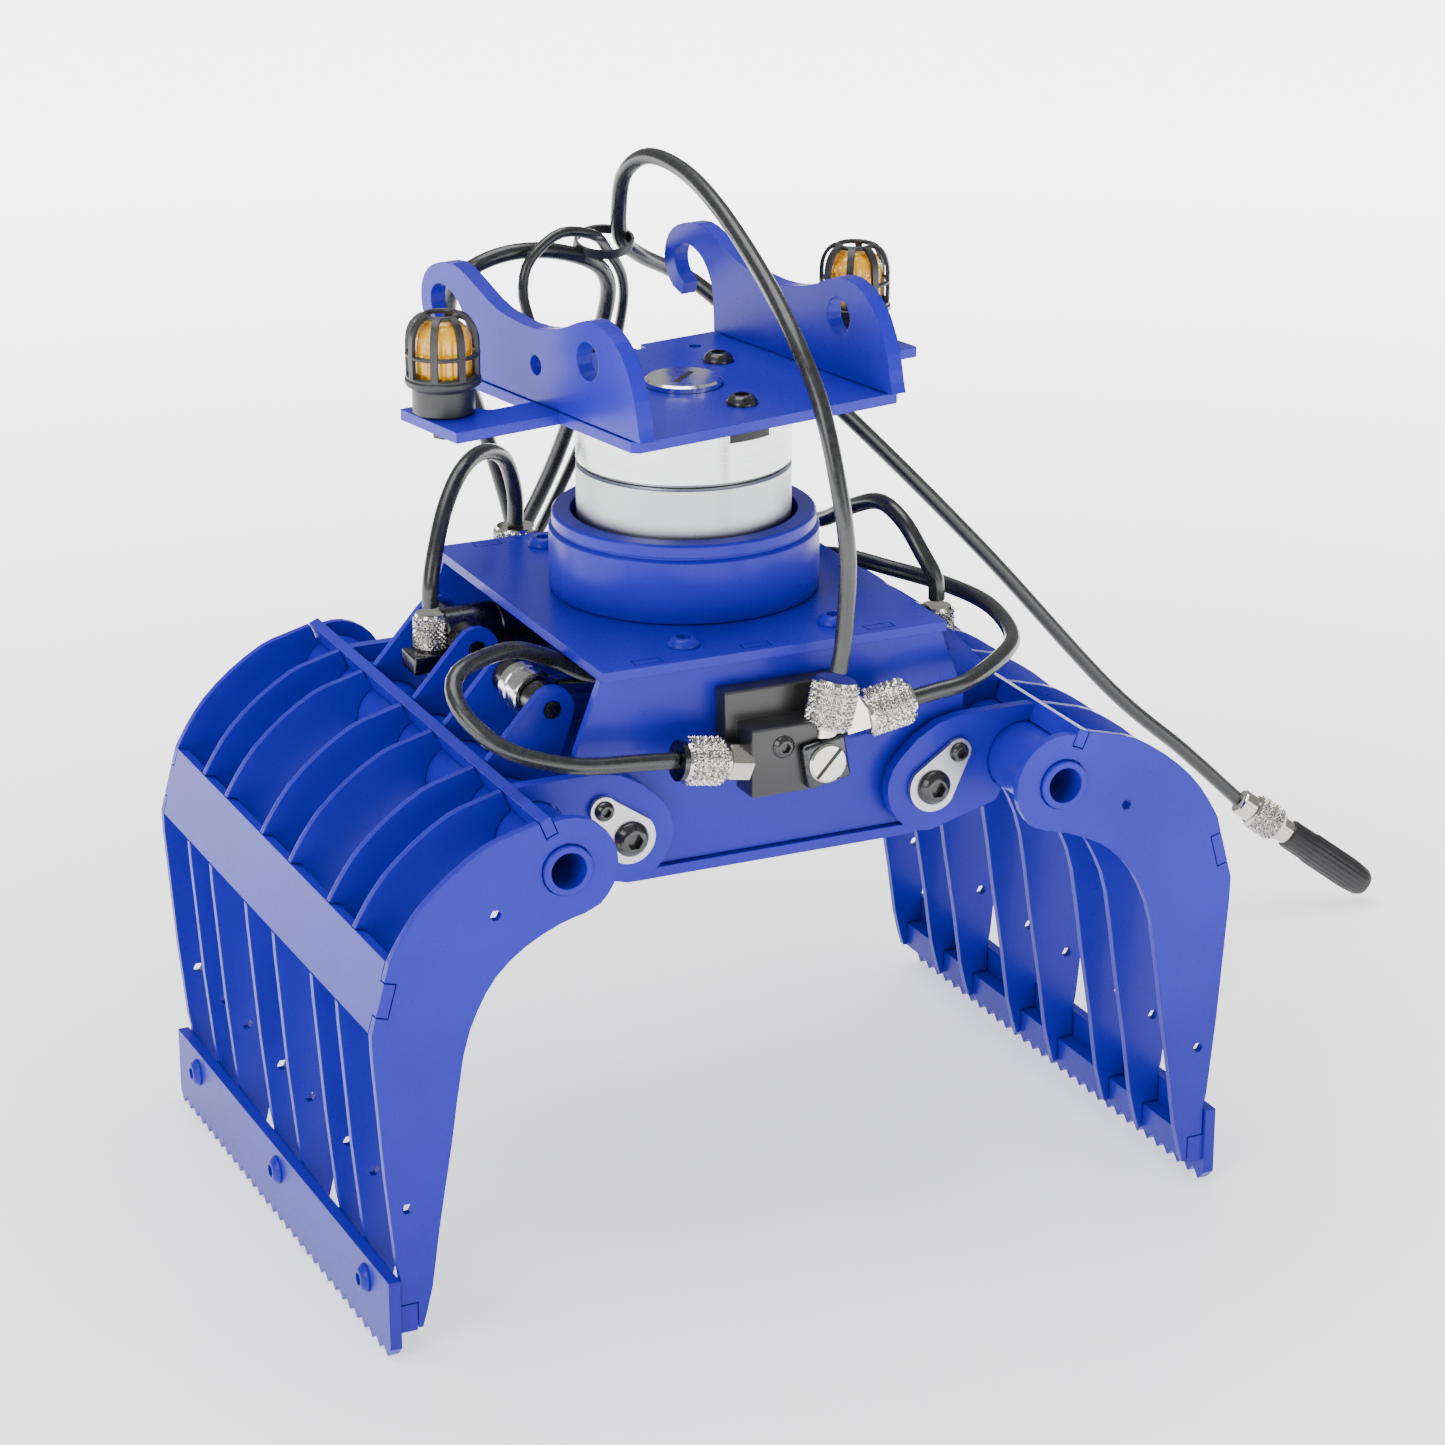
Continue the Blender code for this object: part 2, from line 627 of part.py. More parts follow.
def hanger_outline():
    """The plate, its two arms with their beacon pads, and a notch at the back for the leads."""
    half, front, back = HANGER_HALF_LENGTH, *HANGER_Y
    right = [(half - 1.5, front), (half, front + 1.5), (half, -4.8), (ARM_TIP, -4.8), (ARM_TIP, 19.6)]
    right += [(ARM_TIP - 13.6, 19.6), (50.4, 9.0), (48.5, 7.0), (half, 7.0), (half, back)]
    notch = [(12.0, back), (11.4, 32.0), (8.8, 32.0), (8.2, back)]
    left = [(-x, y) for x, y in reversed(right)]
    return right + notch + left


EAR_BACK = (
    (-37.0, 195.5), (-36.2, 198.0), (-34.7, 204.5), (-31.3, 211.8), (-27.1, 216.3), (-22.0, 218.8),
    (-17.0, 219.4), (-11.6, 217.9), (-6.6, 215.7), (1.0, 213.6), (10.0, 212.8), (21.5, 214.0),
    (29.0, 216.7), (35.5, 219.5), (41.4, 221.0), (48.0, 219.9), (52.7, 217.6), (55.2, 214.3),
    (56.0, 210.6), (55.1, 206.2), (52.4, 203.2),
)
EAR_HOOK = (
    (48.6, 201.8), (47.3, 205.0), (49.8, 206.6), (51.4, 209.6), (50.9, 213.1), (47.5, 215.1), (43.5, 214.6),
    (39.6, 212.6), (36.8, 209.0), (35.2, 204.6), (34.8, 195.5),
)


def make_hanger(axis):
    low, high = HANGER_Z
    flat = frame_at((0, 0, (low + high) / 2), (1, 0, 0), (0, 1, 0))
    loops = [hanger_outline(), circle((0, 0), CAP_RADIUS + GAP, 24), circle((21.8, 26.4), 1.6, 8)]
    loops += [circle((side * BEACON[0], BEACON[1]), 1.7 + GAP, 10) for side in (-1, 1)]
    hang(plate("hanger_plate", loops, high - low, flat, "blue_paint"), axis, own_axes=True)
    outline = [tuple(p) for p in smooth(EAR_BACK, 2)] + [tuple(p) for p in smooth(EAR_HOOK, 2)]
    loops = [outline, circle((-15.9, 209.8), 4.5, 16), circle((5.7, 204.2), 2.4, 12)]
    middle = EAR_INNER + EAR_THICKNESS / 2
    for name, side in (("left_ear", -1), ("right_ear", 1)):
        place = frame_at((side * middle, 0, 0), (0, 1, 0), (0, 0, 1))
        hang(plate(name, loops, EAR_THICKNESS, place, "blue_paint"), axis, own_axes=True)
    for name, side in (("left", -1), ("right", 1)):
        make_beacon(name, side, axis)


def make_beacon(name, side, axis):
    """A caged warning light: base, stud and nut turned in one with the cage, and the lens inside."""
    seat = HANGER_Z[1] + GAP
    under = HANGER_Z[0] - GAP
    cage = [
        (0.0, 202.3), (7.3, 202.3), (7.3, 211.5), (6.8, 214.8), (5.3, 217.0), (3.6, 217.9),
        (3.6, 218.9), (5.9, 217.9), (7.7, 215.3), (8.4, 211.5), (8.4, 204.2), (8.8, 203.6),
        (8.8, 202.8), (7.2, 201.4), (7.2, seat), (1.7, seat), (1.7, under), (2.6, under),
        (2.6, under - 3.0), (0.0, under - 3.0),
    ]
    place = Matrix.Translation(Vector((side * BEACON[0], BEACON[1], 0)) * MM)
    body = turned(f"{name}_beacon", cage, place, "black_plastic", 16)
    windows = []
    for i in range(8):
        direction = Matrix.Rotation((i + 0.5) * math.pi / 4, 4, "Z")
        for row, (bottom, top) in enumerate(((204.4, 208.8), (209.9, 214.6))):
            shape = block(f"{name}_window_{i}_{row}", (5.8, -2.3, bottom), (9.6, 2.3, top))
            shape.matrix_world = place @ direction
            windows.append(shape)
    combine(body, windows, "DIFFERENCE")
    lens = [(0.0, 217.2), (3.0, 216.9), (4.9, 215.7), (6.2, 213.4), (6.7, 210.5), (6.7, 202.6), (0.0, 202.6)]
    glass = turned(f"{name}_beacon_lens", lens, place, "amber_lens", 12)
    hang(glass, axis, own_axes=True)
    hang(body, axis, own_axes=True)
    for shape in windows:
        hang(shape, axis, own_axes=True)


# ---------------------------------------------------------------- cylinders and manifolds

def make_nut(name, start, end, radius=NUT_RADIUS):
    """A knurled hose nut between two points."""
    return cylinder(name, radius, start, end, 16)


def make_cylinder(row, y, cap_side, barrel_axis, rod_axis):
    """One hydraulic cylinder: its barrel hung on one jaw's pin and its rod on the other's."""
    x, z = CYLINDER_PIN
    towards_rod = -cap_side
    cap_x = cap_side * x

    def along(s, dy=0.0, dz=0.0):
        return (cap_x + towards_rod * s, y + dy, z + dz)

    gland = BARREL[1] - GLAND_LENGTH
    bore = ROD_RADIUS + GAP
    profile = [
        (0.0, BORE_START), (BORE_RADIUS, BORE_START), (BORE_RADIUS, gland), (bore, gland),
        (bore, BARREL[1]), (BARREL_RADIUS, BARREL[1]), (BARREL_RADIUS, BARREL[0]), (0.0, BARREL[0]),
    ]
    place = facing(along(0.0), (towards_rod, 0, 0))
    barrel = turned(f"{row}_barrel", profile, place, "gunmetal", 20)
    outer = 1 if y > 0 else -1
    port_x = sorted((along(-12.5)[0], along(-2.5)[0]))
    gland_x = sorted((along(58.0)[0], along(67.8)[0]))
    gland_y = sorted((y + outer * 3.0, y + outer * 10.8))
    shapes = [
        cylinder(
            f"{row}_cap_pin_shape", PIN_RADIUS, along(0, -PIN_HALF_LENGTH), along(0, PIN_HALF_LENGTH), 10,
        ),
        block(f"{row}_port_shape", (port_x[0], y - 4.6, z - 8.0), (port_x[1], y + 4.6, z - 3.4)),
        make_nut(f"{row}_port_nut_shape", along(-6.3, 0, -3.8), along(-6.3, 0, 7.0), 4.3),
        block(
            f"{row}_gland_port_shape", (gland_x[0], gland_y[0], z - 3.0), (gland_x[1], gland_y[1], z + 5.2),
        ),
    ]
    hang(combine(barrel, shapes), barrel_axis)
    rod_x = -cap_x
    inward = cap_side
    tip = ROD_LENGTH
    rod_profile = [
        (0.0, tip), (4.4, tip), (4.4, tip - 5.0), (ROD_RADIUS, tip - 5.2), (ROD_RADIUS, 2.0), (0.0, 2.0),
    ]
    rod = turned(f"{row}_rod", rod_profile, facing((rod_x, y, z), (inward, 0, 0)), "steel", 16)
    shapes = [
        cylinder(
            f"{row}_eye_shape", EYE_RADIUS, (rod_x, y - EYE_HALF_WIDTH, z), (rod_x, y + EYE_HALF_WIDTH, z), 20,
        ),
        cylinder(
            f"{row}_rod_pin_shape", PIN_RADIUS, (rod_x, y - PIN_HALF_LENGTH, z), (rod_x, y + PIN_HALF_LENGTH, z), 10,
        ),
    ]
    hang(combine(rod, shapes), rod_axis)


def make_front_manifold():
    """The hose block on the front panel, with its elbow, its supply nut and its two hose nuts."""
    face = -(PANEL_FACE + GAP)
    body = block("front_manifold", (-15.0, face - 5.5, 117.0), (15.0, face, 138.3), "black_block")
    tilt = Matrix.Rotation(math.radians(-10.0), 4, "Y")
    shapes = [
        block("front_block_shape", (-12.0, face - 13.7, 115.2), (4.5, face - 5.0, 131.4)),
        block("front_elbow_shape", (0.2, face - 16.0, 116.4), (11.4, face - 7.0, 127.6), turn=tilt),
        cylinder("front_left_hex_shape", 4.6, (-11.5, -60.0, 123.1), (-17.2, -60.0, 124.1), 6),
        make_nut("front_left_nut_shape", (-17.6, -60.0, 124.1), (-29.1, -60.0, 126.0)),
        cylinder("front_left_neck_shape", 3.2, (-16.0, -60.0, 123.8), (-19.0, -60.0, 124.4), 10),
        cylinder("front_right_hex_shape", 4.6, (3.5, -59.4, 127.6), (18.0, -60.0, 129.9), 6),
        make_nut("front_right_nut_shape", (17.6, -60.0, 129.9), (29.3, -60.0, 131.8)),
        cylinder("front_up_neck_shape", 3.2, (6.6, -62.0, 124.0), (7.8, -62.0, 130.0), 10),
        make_nut("front_up_nut_shape", (7.5, -62.0, 129.2), (9.9, -62.0, 140.3)),
    ]
    combine(body, shapes)


def make_rear_manifold():
    """The rear hose block: two upright hose nuts, and the supply nut that faces backwards."""
    face = PANEL_FACE + GAP
    body = block("rear_manifold", (-15.0, face, 117.0), (15.0, face + 5.5, 138.3), "black_block")
    shapes = [
        block("rear_block_shape", (-24.5, face + 2.5, 121.0), (14.0, face + 13.0, 131.0)),
        cylinder("rear_left_neck_shape", 3.2, (-20.0, 57.0, 129.0), (-20.0, 57.0, 137.0), 10),
        make_nut("rear_left_nut_shape", (-20.0, 57.0, 135.6), (-20.0, 57.0, 147.0)),
        block("rear_elbow_shape", (4.0, 51.5, 126.0), (13.0, 61.0, 142.6)),
        cylinder("rear_right_neck_shape", 3.2, (12.0, 56.0, 138.0), (16.0, 56.0, 138.0), 10),
        make_nut("rear_right_nut_shape", (14.6, 56.0, 138.0), (25.7, 56.0, 138.0)),
        cylinder("rear_supply_hex_shape", 4.6, (-5.0, face + 12.0, 126.0), (-5.0, face + 15.0, 126.0), 6),
        make_nut("rear_supply_nut_shape", (-5.0, face + 14.5, 126.0), (-5.0, face + 25.5, 126.0)),
    ]
    combine(body, shapes)


# ---------------------------------------------------------------- hoses

FRONT_LEFT_ROUTE = (
    (-29.5, -60.0, 126.1), (-38.0, -60.2, 127.0), (-54.0, -60.0, 128.7),
    (-68.3, -57.0, 133.4), (-75.3, -50.0, 139.6),
    (-75.9, -43.0, 144.9), (-70.5, -38.0, 147.7), (-57.0, -32.0, 147.6), (-45.4, -27.5, 142.2),
    (-36.9, -28.7, 137.9), (-28.0, -30.0, 136.0), (-18.6, -30.2, 135.4),
)
FRONT_RIGHT_ROUTE = (
    (29.7, -60.0, 131.9), (37.0, -60.0, 132.8), (44.6, -60.0, 133.9),
    (58.1, -52.0, 135.9), (66.0, -42.0, 136.8), (69.0, -25.0, 138.6),
    (65.4, -9.0, 139.6), (58.0, 6.0, 140.3), (50.6, 15.0, 141.6),
    (43.4, 23.0, 140.9), (35.0, 29.0, 138.0),
    (27.0, 30.0, 136.0), (18.6, 30.2, 135.4),
)
REAR_LEFT_ROUTE = (
    (-20.0, 57.0, 147.4), (-20.3, 56.6, 156.2), (-25.0, 51.5, 166.4),
    (-33.5, 44.0, 171.0), (-42.0, 36.5, 169.4),
    (-48.5, 31.0, 162.5), (-53.4, 25.6, 153.5), (-55.7, 23.1, 146.5), (-55.9, 22.9, 141.2),
)
REAR_RIGHT_ROUTE = (
    (26.0, 56.0, 138.0), (31.5, 56.4, 138.0), (38.5, 57.5, 138.3),
    (45.4, 54.5, 139.5), (48.6, 47.5, 141.5),
    (48.2, 40.0, 143.9), (47.7, 30.0, 147.0), (47.5, 19.0, 151.0), (48.5, 7.0, 157.2),
    (50.2, -4.0, 161.0), (51.8, -13.0, 158.4), (53.6, -19.5, 152.0),
    (55.6, -22.6, 146.5), (55.9, -22.9, 141.2),
)
FRONT_SUPPLY_ROUTE = (
    (10.2, -62.0, 142.0), (11.5, -62.0, 150.0), (12.3, -62.0, 168.8),
    (11.2, -58.5, 186.5), (10.6, -50.0, 203.1), (10.0, -36.5, 216.0),
    (10.9, -18.0, 225.6), (11.4, 5.0, 235.0), (11.0, 24.0, 240.0),
    (8.4, 38.0, 241.0), (6.4, 47.5, 235.5),
    (6.6, 52.0, 226.5), (9.0, 56.5, 217.0), (17.0, 63.0, 210.4),
    (29.0, 69.5, 203.7), (41.0, 71.5, 195.3),
    (75.7, 67.0, 162.2), (118.0, 68.5, 118.9), (158.4, 69.0, 74.0),
    (184.0, 70.0, 51.0), (203.0, 70.6, 33.0),
)
FITTING_START = (203.7, 70.6, 32.4)
CAP_TIP = (239.7, 58.5, 4.9)
REAR_SUPPLY_ROUTE = (
    (-5.0, 77.0, 126.0), (-5.4, 84.0, 127.5), (-7.0, 89.5, 134.0),
    (-10.0, 89.5, 146.0), (-17.0, 85.0, 165.0), (-27.0, 74.0, 186.0),
    (-34.5, 62.0, 203.0), (-33.5, 54.5, 212.5), (-25.0, 52.0, 217.0),
    (-14.0, 52.0, 217.2), (-3.0, 54.0, 214.0),
    (5.0, 58.5, 208.5), (8.5, 64.5, 199.0), (6.0, 72.0, 180.0),
    (-1.0, 82.0, 150.0), (-12.0, 96.0, 118.0),
    (-28.0, 113.0, 84.0), (-45.0, 128.0, 50.0), (-57.0, 139.0, 26.0),
    (-65.5, 150.0, 9.5), (-68.5, 161.0, 3.0),
    (-66.0, 171.0, 2.3), (-57.0, 176.5, 2.3), (-47.0, 172.5, 2.6), (-41.5, 163.0, 4.6),
)
REAR_FITTING_START = (-41.2, 162.3, 5.0)
REAR_CAP_TIP = (-33.5, 110.3, 5.0)
LEAD_ROUTE = (
    (-20.5, 38.5, 197.0), (-21.5, 42.0, 203.0), (-22.0, 44.5, 209.5),
    (-19.5, 46.0, 216.5), (-11.0, 47.5, 222.0), (-1.0, 50.0, 220.0),
    (5.0, 56.0, 214.5), (11.5, 62.0, 206.0), (14.0, 68.0, 195.0),
    (12.0, 75.0, 175.0), (4.0, 86.0, 145.0), (-7.0, 101.0, 112.0),
    (-22.0, 116.0, 76.0), (-37.0, 124.0, 44.0), (-50.0, 126.0, 20.0),
    (-56.5, 120.0, 6.0), (-58.5, 111.0, 1.8),
    (-58.5, 103.3, 1.7),
)
PLUG = ((-62.5, 89.0, 0.3), (-54.5, 103.0, 4.7))


def make_captive_hoses():
    hose("front_left_hose", FRONT_LEFT_ROUTE)
    hose("front_right_hose", FRONT_RIGHT_ROUTE)
    hose("rear_left_hose", REAR_LEFT_ROUTE)
    hose("rear_right_hose", REAR_RIGHT_ROUTE)


def make_coupling(name, start, tip):
    """The coupling on a hose's free end: a short sleeve, a knurled nut, and the dust cap over its nose."""
    length = (Vector(tip) - Vector(start)).length
    profile = [
        (0.0, length), (2.9, length - 0.4), (4.0, length - 2.0), (4.6, length - 8.0), (4.6, 26.0), (4.3, 25.0),
        (4.3, 18.0), (3.6, 17.6), (3.6, 14.2), (5.1, 14.0), (5.1, 4.4), (3.8, 4.2), (3.8, 0.0), (0.0, 0.0),
    ]
    return turned(name, profile, facing(start, Vector(tip) - Vector(start)), "nickel", 16)


def make_supply(axis):
    """The two supply hoses and the light lead, tied together behind the hanger."""
    pieces = [
        hose("front_supply_hose", FRONT_SUPPLY_ROUTE, spacing=10.0),
        hose("rear_supply_hose", REAR_SUPPLY_ROUTE, spacing=9.0),
        hose("light_lead", LEAD_ROUTE, LEAD_RADIUS, spacing=9.0),
    ]
    pieces.append(make_coupling("front_hose_coupling", FITTING_START, CAP_TIP))
    pieces.append(make_coupling("rear_hose_coupling", REAR_FITTING_START, REAR_CAP_TIP))
    pieces.append(block("lead_plug", *PLUG, "black_plastic"))
    for piece in pieces:
        hang(piece, axis)


# ---------------------------------------------------------------- the whole object

def main():
    x, z = CYLINDER_PIN
    left_axis = make_jaw("left_jaw", -1)
    right_axis = make_jaw("right_jaw", 1)
    for jaw, side, axis in (("left_jaw", -1, left_axis), ("right_jaw", 1, right_axis)):
        for end, front in (("front", -1), ("rear", 1)):
            make_pivot_pin(jaw, end, side, front, axis)
    make_frame()
    hanger_axis = add_axis("hanger_axis", (0, 0, 0), HANGER_TURN)
    make_rotator(hanger_axis)
    make_hanger(hanger_axis)
    for row, y, cap_side in (("front", -CYLINDER_Y, 1), ("rear", CYLINDER_Y, -1)):
        barrel_axis = add_axis(f"{row}_barrel_axis", (cap_side * x, y, z))
        rod_axis = add_axis(f"{row}_rod_axis", (-cap_side * x, y, z))
        make_cylinder(row, y, cap_side, barrel_axis, rod_axis)
    make_front_manifold()
    make_rear_manifold()
    make_captive_hoses()
    make_supply(hanger_axis)


main()
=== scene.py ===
"""The looks of the model sorting grapple: paint, metal, hoses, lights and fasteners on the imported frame.

Places are in millimetres in the part's own axes, and become metres where a mesh is made. Pieces named
after the hanger are drawn in its own axes and turned with it.
"""

import json
import math

import bmesh
import bpy
from mathutils import Matrix, Vector


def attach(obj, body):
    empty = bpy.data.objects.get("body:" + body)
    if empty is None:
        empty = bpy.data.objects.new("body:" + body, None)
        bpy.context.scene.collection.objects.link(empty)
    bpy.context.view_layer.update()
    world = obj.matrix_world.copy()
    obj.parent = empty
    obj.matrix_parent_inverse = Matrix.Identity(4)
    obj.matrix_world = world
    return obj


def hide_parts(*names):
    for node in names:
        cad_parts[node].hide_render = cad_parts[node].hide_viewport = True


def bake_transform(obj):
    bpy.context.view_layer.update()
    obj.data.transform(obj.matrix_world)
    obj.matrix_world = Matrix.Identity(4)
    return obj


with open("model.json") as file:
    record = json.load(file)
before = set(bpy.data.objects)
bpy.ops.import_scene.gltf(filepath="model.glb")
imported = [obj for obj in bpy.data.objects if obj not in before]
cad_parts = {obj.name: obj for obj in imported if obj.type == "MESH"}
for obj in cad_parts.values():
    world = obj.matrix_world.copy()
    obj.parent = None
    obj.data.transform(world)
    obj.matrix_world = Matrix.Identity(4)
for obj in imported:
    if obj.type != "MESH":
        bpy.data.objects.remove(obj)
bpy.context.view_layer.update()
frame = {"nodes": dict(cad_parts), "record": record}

MM = 0.001
TAU = 2 * math.pi

# Where the part's pieces are, as its own script has them
PIVOT = (38.6, 107.2)
TUBE = (62.3, 110.8)
CYLINDER_PIN = (49.6, 133.7)
CYLINDER_Y = 22.9
HANGER_TURN = Matrix.Rotation(math.radians(10.3), 4, "Z")
HANGER_TOP = 195.2
BEACON = (58.6, 11.5)
HOSE_RADIUS = 2.0
LEAD_RADIUS = 1.3
HOSE_STEP = 2.5
TIE_INDEX = 10  # which point of the rear supply hose's route is at the tie

# The camera: a long lens, 20 degrees above the floor and 25 degrees to the left
CAMERA_PLACE = (-384.08, -847.25, 451.15)
CAMERA_AZIMUTH = -24.95
CAMERA_ELEVATION = 20.10
CAMERA_LENS = 102.35
SENSOR_WIDTH = 36.0

# Light: the floor glows more far off, as a lit white background does
FLOOR_GLOW = 1.0
FAR_FLOOR_GLOW = 5.0
ROOM_LIGHT = 0.45
OVERHEAD_POWER = 24.0
KEY_POWER = 14.0
FILL_POWER = 5.0

FRONT_LEFT_ROUTE = (
    (-29.5, -60.0, 126.1), (-38.0, -60.2, 127.0), (-54.0, -60.0, 128.7), (-68.3, -57.0, 133.4),
    (-75.3, -50.0, 139.6), (-75.9, -43.0, 144.9), (-70.5, -38.0, 147.7), (-57.0, -32.0, 147.6),
    (-45.4, -27.5, 142.2), (-36.9, -28.7, 137.9), (-28.0, -30.0, 136.0), (-18.6, -30.2, 135.4),
)
FRONT_RIGHT_ROUTE = (
    (29.7, -60.0, 131.9), (37.0, -60.0, 132.8), (44.6, -60.0, 133.9), (58.1, -52.0, 135.9),
    (66.0, -42.0, 136.8), (69.0, -25.0, 138.6), (65.4, -9.0, 139.6), (58.0, 6.0, 140.3),
    (50.6, 15.0, 141.6), (43.4, 23.0, 140.9), (35.0, 29.0, 138.0), (27.0, 30.0, 136.0),
    (18.6, 30.2, 135.4),
)
REAR_LEFT_ROUTE = (
    (-20.0, 57.0, 147.4), (-20.3, 56.6, 156.2), (-25.0, 51.5, 166.4), (-33.5, 44.0, 171.0),
    (-42.0, 36.5, 169.4), (-48.5, 31.0, 162.5), (-53.4, 25.6, 153.5), (-55.7, 23.1, 146.5),
    (-55.9, 22.9, 141.2),
)
REAR_RIGHT_ROUTE = (
    (26.0, 56.0, 138.0), (31.5, 56.4, 138.0), (38.5, 57.5, 138.3), (45.4, 54.5, 139.5),
    (48.6, 47.5, 141.5), (48.2, 40.0, 143.9), (47.7, 30.0, 147.0), (47.5, 19.0, 151.0),
    (48.5, 7.0, 157.2), (50.2, -4.0, 161.0), (51.8, -13.0, 158.4), (53.6, -19.5, 152.0),
    (55.6, -22.6, 146.5), (55.9, -22.9, 141.2),
)
FRONT_SUPPLY_ROUTE = (
    (10.2, -62.0, 142.0), (11.5, -62.0, 150.0), (12.3, -62.0, 168.8), (11.2, -58.5, 186.5),
    (10.6, -50.0, 203.1), (10.0, -36.5, 216.0), (10.9, -18.0, 225.6), (11.4, 5.0, 235.0),
    (11.0, 24.0, 240.0), (8.4, 38.0, 241.0), (6.4, 47.5, 235.5), (6.6, 52.0, 226.5),
    (9.0, 56.5, 217.0), (17.0, 63.0, 210.4), (29.0, 69.5, 203.7), (41.0, 71.5, 195.3),
    (75.7, 67.0, 162.2), (118.0, 68.5, 118.9), (158.4, 69.0, 74.0), (184.0, 70.0, 51.0),
    (203.0, 70.6, 33.0),
)
FRONT_FITTING = ((203.7, 70.6, 32.4), (239.7, 58.5, 4.9))
REAR_SUPPLY_ROUTE = (
    (-5.0, 77.0, 126.0), (-5.4, 84.0, 127.5), (-7.0, 89.5, 134.0), (-10.0, 89.5, 146.0),
    (-17.0, 85.0, 165.0), (-27.0, 74.0, 186.0), (-34.5, 62.0, 203.0), (-33.5, 54.5, 212.5),
    (-25.0, 52.0, 217.0), (-14.0, 52.0, 217.2), (-3.0, 54.0, 214.0), (5.0, 58.5, 208.5),
    (8.5, 64.5, 199.0), (6.0, 72.0, 180.0), (-1.0, 82.0, 150.0), (-12.0, 96.0, 118.0),
    (-28.0, 113.0, 84.0), (-45.0, 128.0, 50.0), (-57.0, 139.0, 26.0), (-65.5, 150.0, 9.5),
    (-68.5, 161.0, 3.0), (-66.0, 171.0, 2.3), (-57.0, 176.5, 2.3), (-47.0, 172.5, 2.6),
    (-41.5, 163.0, 4.6),
)
REAR_FITTING = ((-41.2, 162.3, 5.0), (-33.5, 110.3, 5.0))
LEAD_ROUTE = (
    (-20.5, 38.5, 197.0), (-21.5, 42.0, 203.0), (-22.0, 44.5, 209.5), (-19.5, 46.0, 216.5),
    (-11.0, 47.5, 222.0), (-1.0, 50.0, 220.0), (5.0, 56.0, 214.5), (11.5, 62.0, 206.0),
    (14.0, 68.0, 195.0), (12.0, 75.0, 175.0), (4.0, 86.0, 145.0), (-7.0, 101.0, 112.0),
    (-22.0, 116.0, 76.0), (-37.0, 124.0, 44.0), (-50.0, 126.0, 20.0), (-56.5, 120.0, 6.0),
    (-58.5, 111.0, 1.8), (-58.5, 103.3, 1.7),
)


# ---------------------------------------------------------------- materials

def new_material(name):
    """A material with its nodes, its links and its shader."""
    made = bpy.data.materials.new(name)
    made.use_nodes = True
    return made, made.node_tree.nodes, made.node_tree.links, made.node_tree.nodes["Principled BSDF"]


def add_noise(nodes, links, scale, detail=3.0, coordinates=None):
    """Noise in object space. The scale is in features to the metre."""
    if coordinates is None:
        coordinates = nodes.new("ShaderNodeTexCoord").outputs["Object"]
    noise = nodes.new("ShaderNodeTexNoise")
    noise.inputs["Scale"].default_value = scale
    noise.inputs["Detail"].default_value = detail
    links.new(coordinates, noise.inputs["Vector"])
    return noise.outputs["Fac"]


def spread(nodes, links, source, low, high, start=0.3, end=0.7):
    """Maps a value from start to end onto low to high, which are both numbers or both colours."""
    if isinstance(low, tuple):
        ramp = nodes.new("ShaderNodeValToRGB")
        ramp.color_ramp.elements[0].position = start
        ramp.color_ramp.elements[0].color = (*low, 1.0)
        ramp.color_ramp.elements[1].position = end
        ramp.color_ramp.elements[1].color = (*high, 1.0)
        links.new(source, ramp.inputs["Fac"])
        return ramp.outputs["Color"]
    mapped = nodes.new("ShaderNodeMapRange")
    mapped.inputs["From Min"].default_value = start
    mapped.inputs["From Max"].default_value = end
    mapped.inputs["To Min"].default_value = low
    mapped.inputs["To Max"].default_value = high
    links.new(source, mapped.inputs["Value"])
    return mapped.outputs["Result"]


def add_bump(nodes, links, shader, height, strength, distance, soft_edge=None):
    """Fine relief and, with soft_edge, edges that catch the light as if rounded to that radius."""
    bump = nodes.new("ShaderNodeBump")
    bump.inputs["Strength"].default_value = strength
    bump.inputs["Distance"].default_value = distance
    links.new(height, bump.inputs["Height"])
    if soft_edge:
        bevel = nodes.new("ShaderNodeBevel")
        bevel.samples = 4
        bevel.inputs["Radius"].default_value = soft_edge
        links.new(bevel.outputs["Normal"], bump.inputs["Normal"])
    links.new(bump.outputs["Normal"], shader.inputs["Normal"])


def blue_paint():
    """Royal blue powder coat: a soft gloss with a fine orange peel."""
    material, nodes, links, shader = new_material("blue_paint_look")
    tone = add_noise(nodes, links, 35.0)
    blue = spread(nodes, links, tone, (0.013, 0.008, 0.33), (0.017, 0.011, 0.39))
    links.new(blue, shader.inputs["Base Color"])
    peel = add_noise(nodes, links, 1500.0, 2.0)
    links.new(spread(nodes, links, peel, 0.27, 0.36), shader.inputs["Roughness"])
    shader.inputs["Specular IOR Level"].default_value = 0.2
    shader.inputs["Coat Weight"].default_value = 0.03
    shader.inputs["Coat Roughness"].default_value = 0.08
    add_bump(nodes, links, shader, peel, 0.12, 0.0002, 0.0004)
    return material


